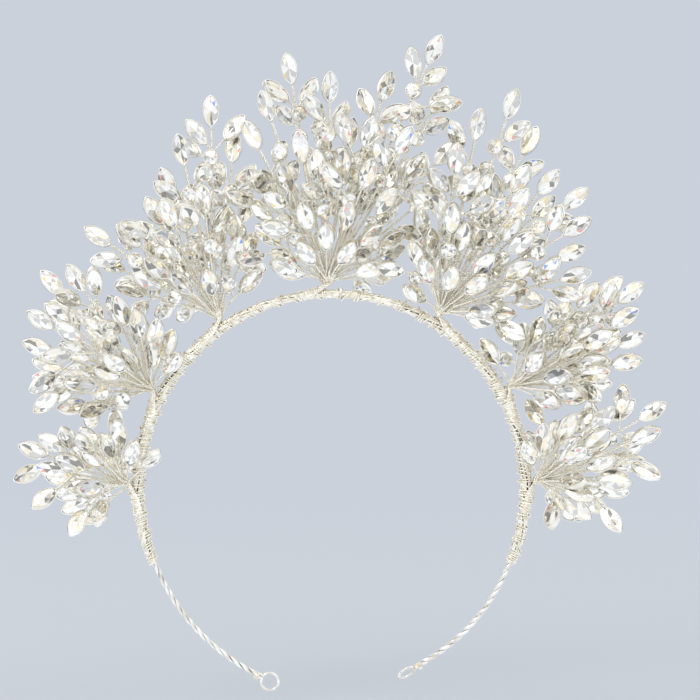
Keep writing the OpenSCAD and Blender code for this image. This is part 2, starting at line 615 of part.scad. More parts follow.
module neck(k) {
    color("LightGray")
        difference() {
            translate(spray_base(k))
                rotate([90, SPRAYS[k][1], 0])
                    linear_extrude(height = gather_depth, center = true)
                        neck_outline(k);
            band_arc(SPRAYS[k][1] - 8, SPRAYS[k][1] + 8, 0, neck_bite(k));
        }
}

// The neck sits on the thicker of the two stretches it stands between
function neck_bite(k) = seat + max([for (hand = [-1, 1]) for (s = stretches(hand))
    if (abs(s[0] - SPRAYS[k][1] * hand) < 1 || abs(s[1] - SPRAYS[k][1] * hand) < 1) s[2]]) / 2;

module stems(k) {
    color("Silver")
        for (g = grown_twigs(k))
            straight_wire(stem_line(k, g[0])[0], stem_line(k, g[0])[1], stem_wire);
}

module stalks(k) {
    color("Silver")
        for (it = spray_stones(k, grown_twigs(k)))
            if (it[4] != [])
                straight_wire(it[4], it[5], stalk_wire);
}

module navettes(k) {
    color("White")
        for (it = of_kind(spray_stones(k, grown_twigs(k)), NAVETTE))
            placed(it) navette_stone();
}

module navette_settings(k) {
    color("Gainsboro")
        for (it = of_kind(spray_stones(k, grown_twigs(k)), NAVETTE))
            placed(it) navette_setting();
}

module chatons(k) {
    color("White")
        for (it = of_kind(spray_stones(k, grown_twigs(k)), CHATON))
            placed(it) chaton_stone();
}

module chaton_settings(k) {
    color("Gainsboro")
        for (it = of_kind(spray_stones(k, grown_twigs(k)), CHATON))
            placed(it) chaton_setting();
}

band_core();
for (hand = [-1, 1]) {
    side = hand < 0 ? "left" : "right";
    bundle(hand);
    binding(hand);
    tail_wires(hand);
    end_loop(hand);
    loop_tie(hand);
}
for (k = [0:6]) {
    name = SPRAYS[k][0];
    neck(k);
    stems(k);
    stalks(k);
    navettes(k);
    navette_settings(k);
    chatons(k);
    chaton_settings(k);
}

echo(least_winding_gap = min([for (hand = [-1, 1]) for (w = winding_list(hand)) winding_gap(w)]));
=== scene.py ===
"""Bridal tiara: cut crystals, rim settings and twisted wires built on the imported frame."""

import json
import logging
import math
from dataclasses import dataclass, field
from enum import Enum
from typing import Any

import bpy
import numpy as np
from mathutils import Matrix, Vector

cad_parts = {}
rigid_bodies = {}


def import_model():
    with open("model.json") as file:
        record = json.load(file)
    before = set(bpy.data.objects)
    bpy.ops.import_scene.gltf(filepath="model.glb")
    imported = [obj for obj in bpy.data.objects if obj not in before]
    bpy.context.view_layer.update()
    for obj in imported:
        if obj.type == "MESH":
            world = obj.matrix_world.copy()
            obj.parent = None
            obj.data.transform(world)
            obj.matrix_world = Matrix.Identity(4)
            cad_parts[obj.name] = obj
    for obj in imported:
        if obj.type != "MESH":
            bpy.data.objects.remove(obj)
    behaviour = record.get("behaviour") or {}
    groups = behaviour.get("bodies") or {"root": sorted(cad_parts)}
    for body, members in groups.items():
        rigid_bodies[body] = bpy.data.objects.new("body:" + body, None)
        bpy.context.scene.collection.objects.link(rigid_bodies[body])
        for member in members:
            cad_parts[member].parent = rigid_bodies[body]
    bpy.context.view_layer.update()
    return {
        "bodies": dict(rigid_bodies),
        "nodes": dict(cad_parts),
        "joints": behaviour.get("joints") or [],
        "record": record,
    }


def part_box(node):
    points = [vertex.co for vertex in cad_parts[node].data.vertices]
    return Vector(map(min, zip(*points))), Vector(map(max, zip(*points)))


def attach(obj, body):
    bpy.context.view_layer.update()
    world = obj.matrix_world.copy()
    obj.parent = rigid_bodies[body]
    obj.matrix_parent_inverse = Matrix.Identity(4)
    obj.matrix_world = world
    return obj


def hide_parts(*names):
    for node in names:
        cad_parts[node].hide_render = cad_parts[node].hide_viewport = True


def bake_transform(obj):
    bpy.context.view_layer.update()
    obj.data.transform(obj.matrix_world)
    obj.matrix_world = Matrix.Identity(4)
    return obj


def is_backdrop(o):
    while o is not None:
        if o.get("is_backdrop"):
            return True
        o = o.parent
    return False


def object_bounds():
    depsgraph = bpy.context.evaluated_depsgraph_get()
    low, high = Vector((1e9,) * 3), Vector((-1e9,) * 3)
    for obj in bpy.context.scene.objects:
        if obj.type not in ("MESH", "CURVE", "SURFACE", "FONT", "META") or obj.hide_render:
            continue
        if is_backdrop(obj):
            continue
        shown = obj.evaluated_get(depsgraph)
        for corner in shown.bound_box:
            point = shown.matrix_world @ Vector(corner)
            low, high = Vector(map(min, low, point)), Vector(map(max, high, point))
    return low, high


Pair = tuple[float, float]
LOG = logging.getLogger("tiara")
MM = 0.001
TURN = 2.0 * math.pi
# Steps of this share of a turn never bunch up
GOLDEN = 0.618034
DEPTH = np.array([0.0, 1.0, 0.0])
# Corners round a thin wire
WIRE_SIDES = 6
CROWN = "crown"
BAND_SEED = 40
SPRAY_SEED = 100
SEED_STEP = 10
SPRAYS = (
    "lower_left",
    "middle_left",
    "upper_left",
    "centre",
    "upper_right",
    "middle_right",
    "lower_right",
)


# --- finishes ---


def linear(hex_code: str) -> tuple[float, float, float, float]:
    """Turn an sRGB hex colour into linear values.

    Args:
        hex_code: Six hex digits, such as "F4EEE2".

    Returns:
        Linear red, green, blue and an alpha of one.
    """
    shares = [int(hex_code[i : i + 2], 16) / 255.0 for i in (0, 2, 4)]
    red, green, blue = (
        s / 12.92 if s <= 0.04045 else ((s + 0.055) / 1.055) ** 2.4 for s in shares
    )
    return red, green, blue, 1.0


def add_node(
    tree: bpy.types.NodeTree,
    kind: str,
    settings: dict[str, Any] | None = None,
    links: dict[str, bpy.types.NodeSocket] | None = None,
) -> bpy.types.Node:
    """Add a shader node with its settings and its incoming links.

    Args:
        tree: Node tree that gets the node.
        kind: Blender's name of the node type.
        settings: Properties of the node or values of its input sockets, by name.
        links: Output sockets to link to input sockets, by the input's name.

    Returns:
        The new node.
    """
    node = tree.nodes.new(kind)
    for name, value in (settings or {}).items():
        if name in node.inputs:
            node.inputs[name].default_value = value
        else:
            setattr(node, name, value)
    for name, socket in (links or {}).items():
        tree.links.new(socket, node.inputs[name])
    return node


def empty_material(name: str) -> tuple[bpy.types.Material, bpy.types.NodeTree]:
    """Make a material whose node tree holds nothing yet.

    Args:
        name: Name of the material.

    Returns:
        The material and its node tree.
    """
    material = bpy.data.materials.new(name)
    material.use_nodes = True
    material.node_tree.nodes.clear()
    return material, material.node_tree


@dataclass(frozen=True)
class MetalFinish:
    """A drawn or plated metal with a slow change of tone and a fine grain."""

    name: str
    light: str
    shade: str
    smooth: float
    rough: float
    grain_mm: float
    bump_mm: float = 0.0
    cloud_grains: float = 6.0
    tone_stops: Pair = (0.35, 0.62)

    def shader(self, tree: bpy.types.NodeTree) -> bpy.types.Node:
        """Build the metal's shader.

        Args:
            tree: Node tree of the material.

        Returns:
            The shader's node.
        """
        place = add_node(tree, "ShaderNodeTexCoord").outputs["Object"]
        # Real die marks are a few hundredths of a millimetre wide, too fine to show in
        # the render, so the grain is drawn coarser, and the slow change of tone wider still
        cloud, grain = (
            add_node(
                tree,
                "ShaderNodeTexNoise",
                {"Scale": 1.0 / (size * MM), "Detail": detail},
                {"Vector": place},
            ).outputs["Fac"]
            for size, detail in (
                (self.cloud_grains * self.grain_mm, 2.0),
                (self.grain_mm, 3.0),
            )
        )
        tone = add_node(tree, "ShaderNodeValToRGB", links={"Fac": cloud})
        for stop, spot, colour in zip(
            tone.color_ramp.elements, self.tone_stops, (self.shade, self.light)
        ):
            stop.position, stop.color = spot, linear(colour)
        polish = add_node(
            tree,
            "ShaderNodeMapRange",
            {"To Min": self.smooth, "To Max": self.rough},
            {"Value": grain},
        )
        links = {
            "Base Color": tone.outputs["Color"],
            "Roughness": polish.outputs["Result"],
        }
        if self.bump_mm:
            bump = add_node(
                tree,
                "ShaderNodeBump",
                {"Strength": 0.6, "Distance": self.bump_mm * MM},
                {"Height": grain},
            )
            links["Normal"] = bump.outputs["Normal"]
        return add_node(tree, "ShaderNodeBsdfPrincipled", {"Metallic": 1.0}, links)


@dataclass(frozen=True)
class CrystalFinish:
    """One facet finish of a cut stone: clear glass in front or a mirror foil behind."""

    name: str
    colour: str
    foil: bool
    rough: float = 0.0
    ior: float = 1.56

    def shader(self, tree: bpy.types.NodeTree) -> bpy.types.Node:
        """Build the facet's shader.

        Args:
            tree: Node tree of the material.

        Returns:
            The shader's node.
        """
        # A polished facet is even all over, so each keeps one tone and its edges stay sharp
        if self.foil:
            settings = {"Metallic": 1.0}
        else:
            settings = {"Transmission Weight": 1.0, "IOR": self.ior}
        settings |= {"Base Color": linear(self.colour), "Roughness": self.rough}
        return add_node(tree, "ShaderNodeBsdfPrincipled", settings)


class Metal(Enum):
    """The metals of the tiara."""

    # Silver-plated brass, polished: thin bright rims with a soft grey bloom
    RIM = MetalFinish("silver_plated_brass", "FCFAF3", "E6E1D3", 0.10, 0.24, 0.9)
    # Drawn craft wire under clear lacquer: silver with a champagne cast
    TWIG = MetalFinish("lacquered_craft_wire", "FFFDF4", "F2EAD9", 0.14, 0.32, 0.25, 0.01)
    # The same wire laid in a bundle under the binding: rougher where the lacquer has dulled
    # it, and a darker tone painted on as the shade under the binding's turns
    LAID = MetalFinish("dulled_and_shaded_craft_wire", "FFFCF1", "E2DAC8", 0.18, 0.36, 0.30, 0.015)
    # Finer wire of the same make, pulled tight, so it catches more light
    BINDING = MetalFinish("fine_binding_wire", "FFFCF1", "ECE3CF", 0.14, 0.30, 0.3, 0.01)
    # Thick bright wire of the tails, drawn and burnished
    TAIL = MetalFinish("burnished_silver_wire", "FCFAF5", "DDD8CD", 0.06, 0.18, 0.8, 0.012)
    # The same wire down between its twists, painted dark grey as the shade in the grooves
    # between the wires
    GROOVE = MetalFinish("painted_groove_shade_wire", "86827B", "56524C", 0.30, 0.50, 0.4, 0.01)

    @property
    def finish(self) -> MetalFinish:
        """The finish of this metal."""
        return self.value


class Facet(Enum):
    """Facet finishes, with their shares of a stone's large and small back facets."""

    # Cut lead glass: clear, with sharp edges that bend the light
    CLEAR = (CrystalFinish("cut_lead_glass", "FFFFFF", False), 0.0, 0.0)
    # Silver foil on the back of the stone: mirrors the room through the glass
    SILVER = (CrystalFinish("silver_foil", "FCFAF4", True, 0.03), 0.54, 0.54)
    # The same foil painted light grey: a painted reflection of the dimmer parts of the room
    DULL = (CrystalFinish("painted_dim_reflection_foil", "D6D4CF", True, 0.06), 0.24, 0.22)
    # The same foil with a warm cast
    CHAMPAGNE = (CrystalFinish("champagne_foil", "F6ECD4", True, 0.05), 0.14, 0.14)
    # Facets painted dark grey as the shade between the stones that they look into
    SMOKE = (CrystalFinish("painted_shade_foil", "989690", True, 0.05), 0.08, 0.05)
    # Small facets painted with a coloured flash: a painted glint of the colour that cut glass
    # splits out of the light
    ROSE = (CrystalFinish("rose_flash", "F0B6A8", True, 0.04), 0.0, 0.028)
    BLUE = (CrystalFinish("blue_flash", "93ABEC", True, 0.04), 0.0, 0.012)
    AMBER = (CrystalFinish("amber_flash", "F6DC9C", True, 0.04), 0.0, 0.014)

    @property
    def finish(self) -> CrystalFinish:
        """The finish of this facet."""
        return self.value[0]


MADE: dict[str, bpy.types.Material] = {}


def material_of(kind: Metal | Facet) -> bpy.types.Material:
    """Give the one material of a metal or a facet, made at its first use.

    Args:
        kind: The metal or facet.

    Returns:
        The material of its finish.
    """
    name = kind.finish.name
    if name not in MADE:
        MADE[name], tree = empty_material(name)
        surface = kind.finish.shader(tree).outputs["BSDF"]
        add_node(tree, "ShaderNodeOutputMaterial", links={"Surface": surface})
    return MADE[name]


# --- mesh helpers ---


@dataclass
class MeshMaker:
    """Gathers vertices, faces and finish numbers, and makes one mesh object of them."""

    points: list[np.ndarray] = field(default_factory=list)
    faces: list[np.ndarray] = field(default_factory=list)
    marks: list[np.ndarray] = field(default_factory=list)
    count: int = 0

    def add(
        self, points: np.ndarray, *faces: np.ndarray, mark: int | np.ndarray = 0
    ) -> None:
        """Add one shape.

        Args:
            points: Corners, one row each, in metres.
            faces: Arrays of corner numbers; each array holds faces of one size.
            mark: Finish number of all faces, or one number a face of a single array.
        """
        self.points.append(points)
        for group in faces:
            self.faces.append(group + self.count)
            self.marks.append(np.broadcast_to(mark, len(group)))
        self.count += len(points)

    def piece(
        self,
        part: str,
        new: str,
        old: str,
        slot: str,
        *kinds: Metal | Facet,
        body: str | None = CROWN,
        smooth: bool = True,
    ) -> bpy.types.Object:
        """Make the piece that stands for a CAD node, seat it and report it.

        Args:
            part: First words of the piece's name and of the node's.
            new: Last words of the piece's name.
            old: Last words of the name of the node that it replaces.
            slot: The record's material slot; not used.
            kinds: Metals or facets in the order of the finish numbers.
            body: The CAD body that it rides on, or none to leave it on no body.
            smooth: Whether the faces are shaded smooth.

        Returns:
            The piece, linked to the scene.
        """
        name = f"{part}_{new}"
        mesh = bpy.data.meshes.new(name)
        points = np.concatenate(self.points)
        sizes = np.concatenate([np.full(len(f), f.shape[1]) for f in self.faces])
        loops = np.concatenate([f.ravel() for f in self.faces])
        starts = np.concatenate([[0], np.cumsum(sizes)[:-1]])
        marks = np.concatenate(self.marks)
        mesh.vertices.add(len(points))
        mesh.vertices.foreach_set("co", points.astype(np.float32).ravel())
        mesh.loops.add(len(loops))
        mesh.loops.foreach_set("vertex_index", loops.astype(np.int32))
        mesh.polygons.add(len(sizes))
        mesh.polygons.foreach_set("loop_start", starts.astype(np.int32))
        for kind in kinds:
            mesh.materials.append(material_of(kind))
        mesh.polygons.foreach_set("material_index", marks.astype(np.int32))
        mesh.polygons.foreach_set("use_smooth", np.full(len(sizes), smooth))
        mesh.update(calc_edges=True)
        mesh.validate()
        made = bpy.data.objects.new(name, mesh)
        bpy.context.scene.collection.objects.link(made)
        if body:
            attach(made, body)
        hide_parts(f"{part}_{old}")
        LOG.info("%s: %d faces", name, len(sizes))
        return made


def unit(vectors: np.ndarray) -> np.ndarray:
    """Scale a vector, or one a row, to length one."""
    return vectors / np.linalg.norm(vectors, axis=-1, keepdims=True)


def circled(turn: np.ndarray, first: np.ndarray, second: np.ndarray) -> np.ndarray:
    """Directions turned by angles from a first direction towards a second one."""
    return np.cos(turn) * first + np.sin(turn) * second


def run_along(path: np.ndarray) -> np.ndarray:
    """Distance of each point of a path from its start, measured along it."""
    steps = np.linalg.norm(np.diff(path, axis=0), axis=1)
    return np.concatenate([[0.0], np.cumsum(steps)])


def carried_frames(path: np.ndarray) -> tuple[np.ndarray, np.ndarray, np.ndarray]:
    """Directions along a path that turn no more than the path does.

    Args:
        path: Points of the path, one a row.

    Returns:
        The way along the path, and two directions across it, at each point.
    """
    along = unit(np.gradient(path, axis=0))
    side = np.empty_like(path)
    almost_along = 0.9
    lies_in_depth = abs(along[0] @ DEPTH) >= almost_along
    last = np.cross(along[0], np.array([1.0, 0.0, 0.0]) if lies_in_depth else DEPTH)
    for i, way in enumerate(along):
        last = last - way * (way @ last)
        last = last / math.sqrt(last @ last)
        side[i] = last
    return along, side, np.cross(along, side)


def tube_faces(rings: int, sides: int) -> tuple[np.ndarray, np.ndarray]:
    """Faces of a closed tube whose corners are given ring by ring.

    Args:
        rings: Number of rings.
        sides: Corners of each ring.

    Returns:
        The walls, and the two ends.
    """
    ring = np.arange(sides)
    a = np.arange(rings - 1)[:, None] * sides + ring
    b = np.roll(a, -1, axis=1)
    walls = np.stack([a, b, b + sides, a + sides], -1).reshape(-1, 4)
    return walls, np.array([ring[::-1], ring + (rings - 1) * sides])


def sweep(
    maker: MeshMaker,
    path: np.ndarray,
    radius: float | np.ndarray,
    sides: int,
    mark: int = 0,
) -> None:
    """Add a round wire along a path, with rounded ends.

    Args:
        maker: Gathers the wire's mesh.
        path: Points of the centreline, one a row, in metres.
        radius: The wire's radius, for all points or for each.
        sides: Corners of each ring.
        mark: Finish number of the wire.
    """
    along, side, cross = carried_frames(path)
    radii = np.broadcast_to(np.asarray(radius, float), len(path))
    tip = 0.6
    first = path[:1] - along[:1] * radii[0] * tip
    last = path[-1:] + along[-1:] * radii[-1] * tip
    path = np.concatenate([first, path, last])
    radii = np.concatenate([radii[:1] * tip, radii, radii[-1:] * tip])
    side, cross = (np.concatenate([d[:1], d, d[-1:]])[:, None] for d in (side, cross))
    angle = (np.arange(sides) * TURN / sides)[None, :, None]
    points = path[:, None] + radii[:, None, None] * circled(angle, side, cross)
    maker.add(points.reshape(-1, 3), *tube_faces(len(path), sides), mark=mark)


def twisted_pair(
    maker: MeshMaker,
    path: np.ndarray,
    strand: float,
    pitch: float,
    sides: int = WIRE_SIDES,
    start: float = 0.0,
    nest: float = 1.0,
) -> None:
    """Add two wires twisted round each other along a path.

    Args:
        maker: Gathers the mesh.
        path: Points of the centreline, closely and evenly spaced, in metres.
        strand: Radius of one wire.
        pitch: Length of a full twist.
        sides: Corners of each ring.
        start: Angle of the first wire at the path's start.
        nest: How far each wire keeps from the path, as a share of its radius; below one,
            the wires are pressed into each other.
    """
    _, side, cross = carried_frames(path)
    angle = start + TURN * run_along(path) / pitch
    for half in (0.0, math.pi):
        out = circled((angle + half)[:, None], side, cross)
        sweep(maker, path + nest * strand * out, strand, sides)


def even_path(points: np.ndarray, step: float) -> np.ndarray:
    """Space points evenly along a smooth curve through a few given points.

    Args:
        points: Points that the curve passes, one a row.
        step: Distance between the new points.

    Returns:
        The evenly spaced points.
    """
    before, after = 2 * points[:1] - points[1:2], 2 * points[-1:] - points[-2:-1]
    ends = np.concatenate([before, points, after])
    cuts = 24
    share = np.linspace(0.0, 1.0, cuts, endpoint=False)[:, None]
    pieces = [
        0.5
        * (
            2 * p1
            + (p2 - p0) * share
            + (2 * p0 - 5 * p1 + 4 * p2 - p3) * share**2
            + (3 * p1 - p0 - 3 * p2 + p3) * share**3
        )
        for p0, p1, p2, p3 in zip(ends, ends[1:], ends[2:], ends[3:])
    ]
    dense = np.concatenate([*pieces, points[-1:]])
    run = run_along(dense)
    marks = np.linspace(0.0, run[-1], max(3, int(run[-1] / step) + 1))
    return np.stack([np.interp(marks, run, dense[:, i]) for i in range(3)], 1)


# --- solids of the frame ---


@dataclass
class Solid:
    """A solid of a CAD node, measured: its middle, its axes and its reach along them.

    The axes run from the longest to the shortest. The last one points from the solid's
    larger face to its smaller one, which for a stone or a setting is from the back to the
    front.
    """

    middle: np.ndarray
    axes: np.ndarray
    half: np.ndarray

    @classmethod
    def measured(cls, points: np.ndarray, faces: np.ndarray) -> "Solid":
        """Measure a solid by its surface, whatever its mesh is cut into.

        Args:
            points: Corners of the solid's mesh.
            faces: Triangles of the solid's mesh.

        Returns:
            The measured solid.
        """
        corners = points[faces]
        edges = corners[:, 1:] - corners[:, :1]
        area = np.linalg.norm(np.cross(edges[:, 0], edges[:, 1]), axis=1) / 2
        centres = corners.mean(1)
        centre = (area[:, None] * centres).sum(0) / area.sum()
        local, mid = corners - centre, centres - centre
        # A triangle's spread is that of its three corners and nine times its middle's
        spread = np.einsum("n,nki,nkj->ij", area, local, local)
        spread += 9 * np.einsum("n,ni,nj->ij", area, mid, mid)
        axes = np.linalg.eigh(spread)[1].T[::-1].copy()
        reach = (points - centre) @ axes.T
        low, high = reach.min(0), reach.max(0)
        if low[2] + high[2] < 0:
            axes[2] = -axes[2]
            low[2], high[2] = -high[2], -low[2]
        return cls(centre + ((low + high) / 2) @ axes, axes, (high - low) / 2)

    @property
    def ends(self) -> tuple[np.ndarray, np.ndarray]:
        """The two ends of the longest axis."""
        reach = self.axes[0] * self.half[0]
        return self.middle - reach, self.middle + reach

    @property
    def basis(self) -> np.ndarray:
        """Right-handed directions: along the length, across it and to the front."""
        long, _, facing = self.axes
        return np.stack([long, np.cross(facing, long), facing])


def node_mesh(node: bpy.types.Object) -> tuple[np.ndarray, np.ndarray]:
    """Read a CAD node's mesh with the seams between its faces closed.

    Args:
        node: The CAD node's object.

    Returns:
        The corners and the triangles.
    """
    mesh = node.data
    points = np.empty(len(mesh.vertices) * 3, np.float32)
    mesh.vertices.foreach_get("co", points)
    points = points.reshape(-1, 3).astype(float)
    mesh.calc_loop_triangles()
    faces = np.empty(len(mesh.loop_triangles) * 3, np.int32)
    mesh.loop_triangles.foreach_get("vertices", faces)
    grid = 1e-6
    cells = np.round(points / grid).astype(np.int64)
    _, first, same = np.unique(cells, axis=0, return_index=True, return_inverse=True)
    return points[first], same.ravel()[faces].reshape(-1, 3)


def node_solids(node: bpy.types.Object) -> list[Solid]:
    """Measure the separate solids of a CAD node.

    Args:
        node: The CAD node's object.

    Returns:
        The solids, in the order of their first corner.
    """
    points, faces = node_mesh(node)
    group = np.arange(len(points))
    while True:
        least = group[faces].min(1)
        new = group.copy()
        np.minimum.at(new, faces.ravel(), np.repeat(least, 3))
        new = new[new]
        if (new == group).all():
            break
        group = new
    solids = []
    for number in np.unique(group):
        own = faces[group[faces[:, 0]] == number]
        used, place = np.unique(own, return_inverse=True)
        solids.append(Solid.measured(points[used], place.reshape(-1, 3)))
    return solids


# --- stones and their settings ---


def navette_outline(half: float, side: float, angle: np.ndarray) -> np.ndarray:
    """Points of a navette's outline: two equal arcs that meet in blunt tips.

    Args:
        half: Half of the length.
        side: Half of the width.
        angle: Where on the outline, from one tip round to it again.

    Returns:
        Distances along the length and across it, one row each.
    """
    blunt = 0.28
    along = half * np.cos(angle)
    arc = (half**2 + side**2) / (2 * side)
    lens = np.sqrt(arc**2 - along**2) - (arc - side)
    across = (1 - blunt) * np.sign(np.round(np.sin(angle), 9)) * lens
    return np.stack([along, across + blunt * side * np.sin(angle)], 1)


def round_outline(half: float, side: float, angle: np.ndarray) -> np.ndarray:
    """Points of a circle, with the same arguments as a navette's outline."""
    return np.stack([half * np.cos(angle), side * np.sin(angle)], 1)


@dataclass
class StoneCut:
    """A brilliant cut in a given outline: table, stars, kites and halves, and a foiled back.

    Heights are in millimetres from the girdle, which lies a drop below the CAD stone's top;
    shares are of the outline's size. The foil lies in a low pyramid behind the glass, so it
    sends the light straight out again from any side.
    """

    pointed: bool
    mains: int = 8
    table: float = 0.58
    crown_mm: float = 0.34
    drop_mm: float = 0.95
    under_rim_mm: float = 0.1
    star: float = 0.80
    star_rise: float = 0.54
    edge: float = 0.96
    low: float = 0.6
    joined: float = 0.5
    back_mm: tuple[float, float, float] = (0.5, 0.3, 0.15)

    def shape(self, half: float, side: float) -> tuple[np.ndarray, np.ndarray, np.ndarray]:
        """Corners and facets of one stone about its girdle's middle.

        Args:
            half: Half of the girdle's length in metres.
            side: Half of the girdle's width in metres.

        Returns:
            Corners, triangles, and for each triangle the number of its facet: 0 for the front,
            -1 and less for the back's large facets, 1 and more for its small ones.
        """
        n = self.mains
        outline = navette_outline if self.pointed else round_outline
        main = np.arange(n) * TURN / n
        between = main + TURN / n / 2
        ring = np.arange(2 * n) * TURN / n / 2
        deep, low_deep, tip_deep = self.back_mm
        rows = [
            (main, self.table, self.crown_mm),
            (between, self.star, self.crown_mm * self.star_rise),
            (ring, 1.0, 0.0),
            (between, self.low, -low_deep),
            (ring, self.edge, -deep),
        ]
        points = [
            np.column_stack([outline(half, side, a) * share, np.full(len(a), z * MM)])
            for a, share, z in rows
        ]
        points.append(np.array([[0.0, 0.0, self.crown_mm * MM], [0.0, 0.0, -tip_deep * MM]]))
        k = np.arange(n)
        after, before = (k + 1) % n, (k - 1) % n
        star, low = n + k, 4 * n + k
        star_before, low_before = n + before, 4 * n + before
        girdle, half_way, girdle_after = 2 * n + 2 * k, 2 * n + 2 * k + 1, 2 * n + 2 * after
        edge, edge_half, edge_after = girdle + 3 * n, half_way + 3 * n, girdle_after + 3 * n
        top, tip = np.full(n, 7 * n), np.full(n, 7 * n + 1)
        facets = [
            ((top, k, after), 0 * k),
            ((k, star, after), 0 * k),
            ((k, star_before, girdle), 0 * k),
            ((k, girdle, star), 0 * k),
            ((star, girdle, half_way), 0 * k),
            ((star, half_way, girdle_after), 0 * k),
            ((tip, low, low_before), -1 - k),
            ((girdle, edge, half_way), -1 - n - k),
            ((half_way, edge, edge_half), -1 - n - k),
            ((half_way, edge_half, girdle_after), -1 - n - k),
            ((girdle_after, edge_half, edge_after), -1 - n - k),
            ((low, edge, low_before), 1 + k),
            ((low, edge_half, edge), 1 + n + k),
            ((low, edge_after, edge_half), 1 + 2 * n + k),
        ]
        faces = np.concatenate([np.stack(corners, 1) for corners, _ in facets])
        return np.concatenate(points), faces, np.concatenate([mark for _, mark in facets])


NAVETTE_CUT = StoneCut(True)
ROUND_CUT = StoneCut(False, table=0.55)


@dataclass
class Stones:
    """All stones of one outline in a spray."""

    cut: StoneCut
    solids: list[Solid]
    seed: int

    def drawn(self, draw: np.random.Generator, marks: np.ndarray) -> np.ndarray:
        """Draw the finishes of one stone's facets.

        Args:
            draw: Source of the seeded draws.
            marks: Facet number of each triangle.

        Returns:
            Place in the list of finishes of each triangle.
        """
        shares = np.array([f.value[1:] for f in Facet])
        shares = shares / shares.sum(0)
        large = draw.choice(len(shares), -marks.min(), p=shares[:, 0])
        small = draw.choice(len(shares), marks.max(), p=shares[:, 1])
        joined = draw.random(len(small)) < self.cut.joined
        small = np.where(joined, large[np.arange(len(small)) % self.cut.mains], small)
        places = np.where(marks < 0, large[(-marks).clip(1) - 1], 0)
        return np.where(marks > 0, small[marks.clip(1) - 1], places)

    def build(self, spray: str, kind: str) -> None:
        """Build the stones as one piece.

        Args:
            spray: Name of the spray.
            kind: Name of the stones' kind.
        """
        draw = np.random.default_rng(self.seed)
        under = self.cut.under_rim_mm * MM
        maker = MeshMaker()
        for solid in self.solids:
            points, faces, marks = self.cut.shape(*(solid.half[:2] + under))
            drop = solid.half[2] - self.cut.drop_mm * MM
            girdle = solid.middle + solid.axes[2] * drop
            maker.add(girdle + points @ solid.basis, faces, mark=self.drawn(draw, marks))
        maker.piece(spray, f"cut_{kind}s", f"{kind}s", "crystal", *Facet, smooth=False)


@dataclass
class Settings:
    """All rim settings of one outline in a spray: closed cups with a rolled lip."""

    pointed: bool
    solids: list[Solid]
    wall_mm: float = 0.35
    floor_mm: float = 0.35
    lip_mm: float = 0.34
    fold_mm: float = 0.38
    round_mm: float = 0.3
    # A wall is this much longer through a pointed tip than through a side
    tip: float = 1.6
    steps: int = 28

    def profile(self, height: float) -> list[tuple[float, float]]:
        """The cup's section from the middle of its back over the lip to its floor.

        Args:
            height: Depth of the cup with its folded lip, in millimetres.

        Returns:
            Pairs of the distance in from the outside and the height above the back.
        """
        wall, lip, r = self.wall_mm, self.lip_mm, self.round_mm
        return [
            (1.6, 0.06),
            (0.9, 0.0),
            (r, 0.03),
            (r * 0.3, r * 0.3),
            (0.0, r),
            (0.02, height * 0.6),
            (0.0, height - 0.22),
            (0.05, height - 0.09),
            (0.4 * lip, height),
            (0.75 * lip, height - 0.01),
            (lip, height - 0.07),
            (wall, height - 0.2),
            (wall, self.floor_mm),
            (1.5, self.floor_mm),
        ]

    def build(self, spray: str, kind: str) -> None:
        """Build the settings as one piece.

        Args:
            spray: Name of the spray.
            kind: Name of the stones' kind.
        """
        outline = navette_outline if self.pointed else round_outline
        tip = self.tip if self.pointed else 1.0
        angle = np.arange(self.steps) * TURN / self.steps
        maker = MeshMaker()
        for solid in self.solids:
            half, side, depth = solid.half
            section = self.profile(2 * depth / MM + self.fold_mm)
            rings = []
            for inset, z in section:
                flat = outline(half - inset * tip * MM, side - inset * MM, angle)
                rings.append(np.column_stack([flat, np.full(self.steps, z * MM)]))
            back = solid.middle - solid.axes[2] * depth
            points = back + np.concatenate(rings) @ solid.basis
            maker.add(points, *tube_faces(len(section), self.steps))
        node = f"{kind}_settings"
        maker.piece(spray, f"{kind}_rims", node, "setting_metal", Metal.RIM)


# --- twigs, necks, band and tails ---


@dataclass
class Band:
    """The band's circle in the plane of the tiara, and how thick its bundle is along it."""

    radius: float
    bound: float
    angles: np.ndarray
    radii: np.ndarray

    @classmethod
    def measured(cls, frame: dict[str, Any]) -> "Band":
        """Measure the band from its core, its bundles and the tails' hinges.

        Args:
            frame: What the frame's loading gave.

        Returns:
            The band.
        """
        _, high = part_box("band_core")
        x, _, z = frame["joints"][1]["pos_m"]
        rows = [
            (math.atan2(solid.middle[0], solid.middle[2]), solid.half[2])
            for side in ("left", "right")
            for solid in node_solids(frame["nodes"][f"{side}_bundle"])
        ]
        angles, radii = np.array(sorted(rows)).T
        LOG.info("bundle radius in mm: %s", np.round(radii / MM, 2).tolist())
        return cls(high.z - high.y, math.atan2(abs(x), z), angles, radii)

    @property
    def length(self) -> float:
        """Length of one bound half."""
        return self.radius * self.bound

    @staticmethod
    def outward(angle: np.ndarray | float) -> np.ndarray:
        """The way out from the band's centre at an angle from the top."""
        angle = np.asarray(angle, float)
        return np.stack([np.sin(angle), 0 * angle, np.cos(angle)], -1)

    def point(self, angle: np.ndarray | float) -> np.ndarray:
        """The point of the band's centreline at an angle from the top."""
        return self.radius * self.outward(angle)

    def around(
        self, angle: np.ndarray, turn: np.ndarray | float, extra: float | np.ndarray
    ) -> np.ndarray:
        """Points round the bundle.

        Args:
            angle: Angle from the top of each point.
            turn: Angle round the band's centreline of each point, from the outer edge.
            extra: Distance outside the bundle.

        Returns:
            The points, one a row.
        """
        turn = np.broadcast_to(turn, angle.shape)
        radius = (np.interp(angle, self.angles, self.radii) + extra)[:, None]
        return self.point(angle) + radius * circled(
            turn[:, None], self.outward(angle), DEPTH
        )


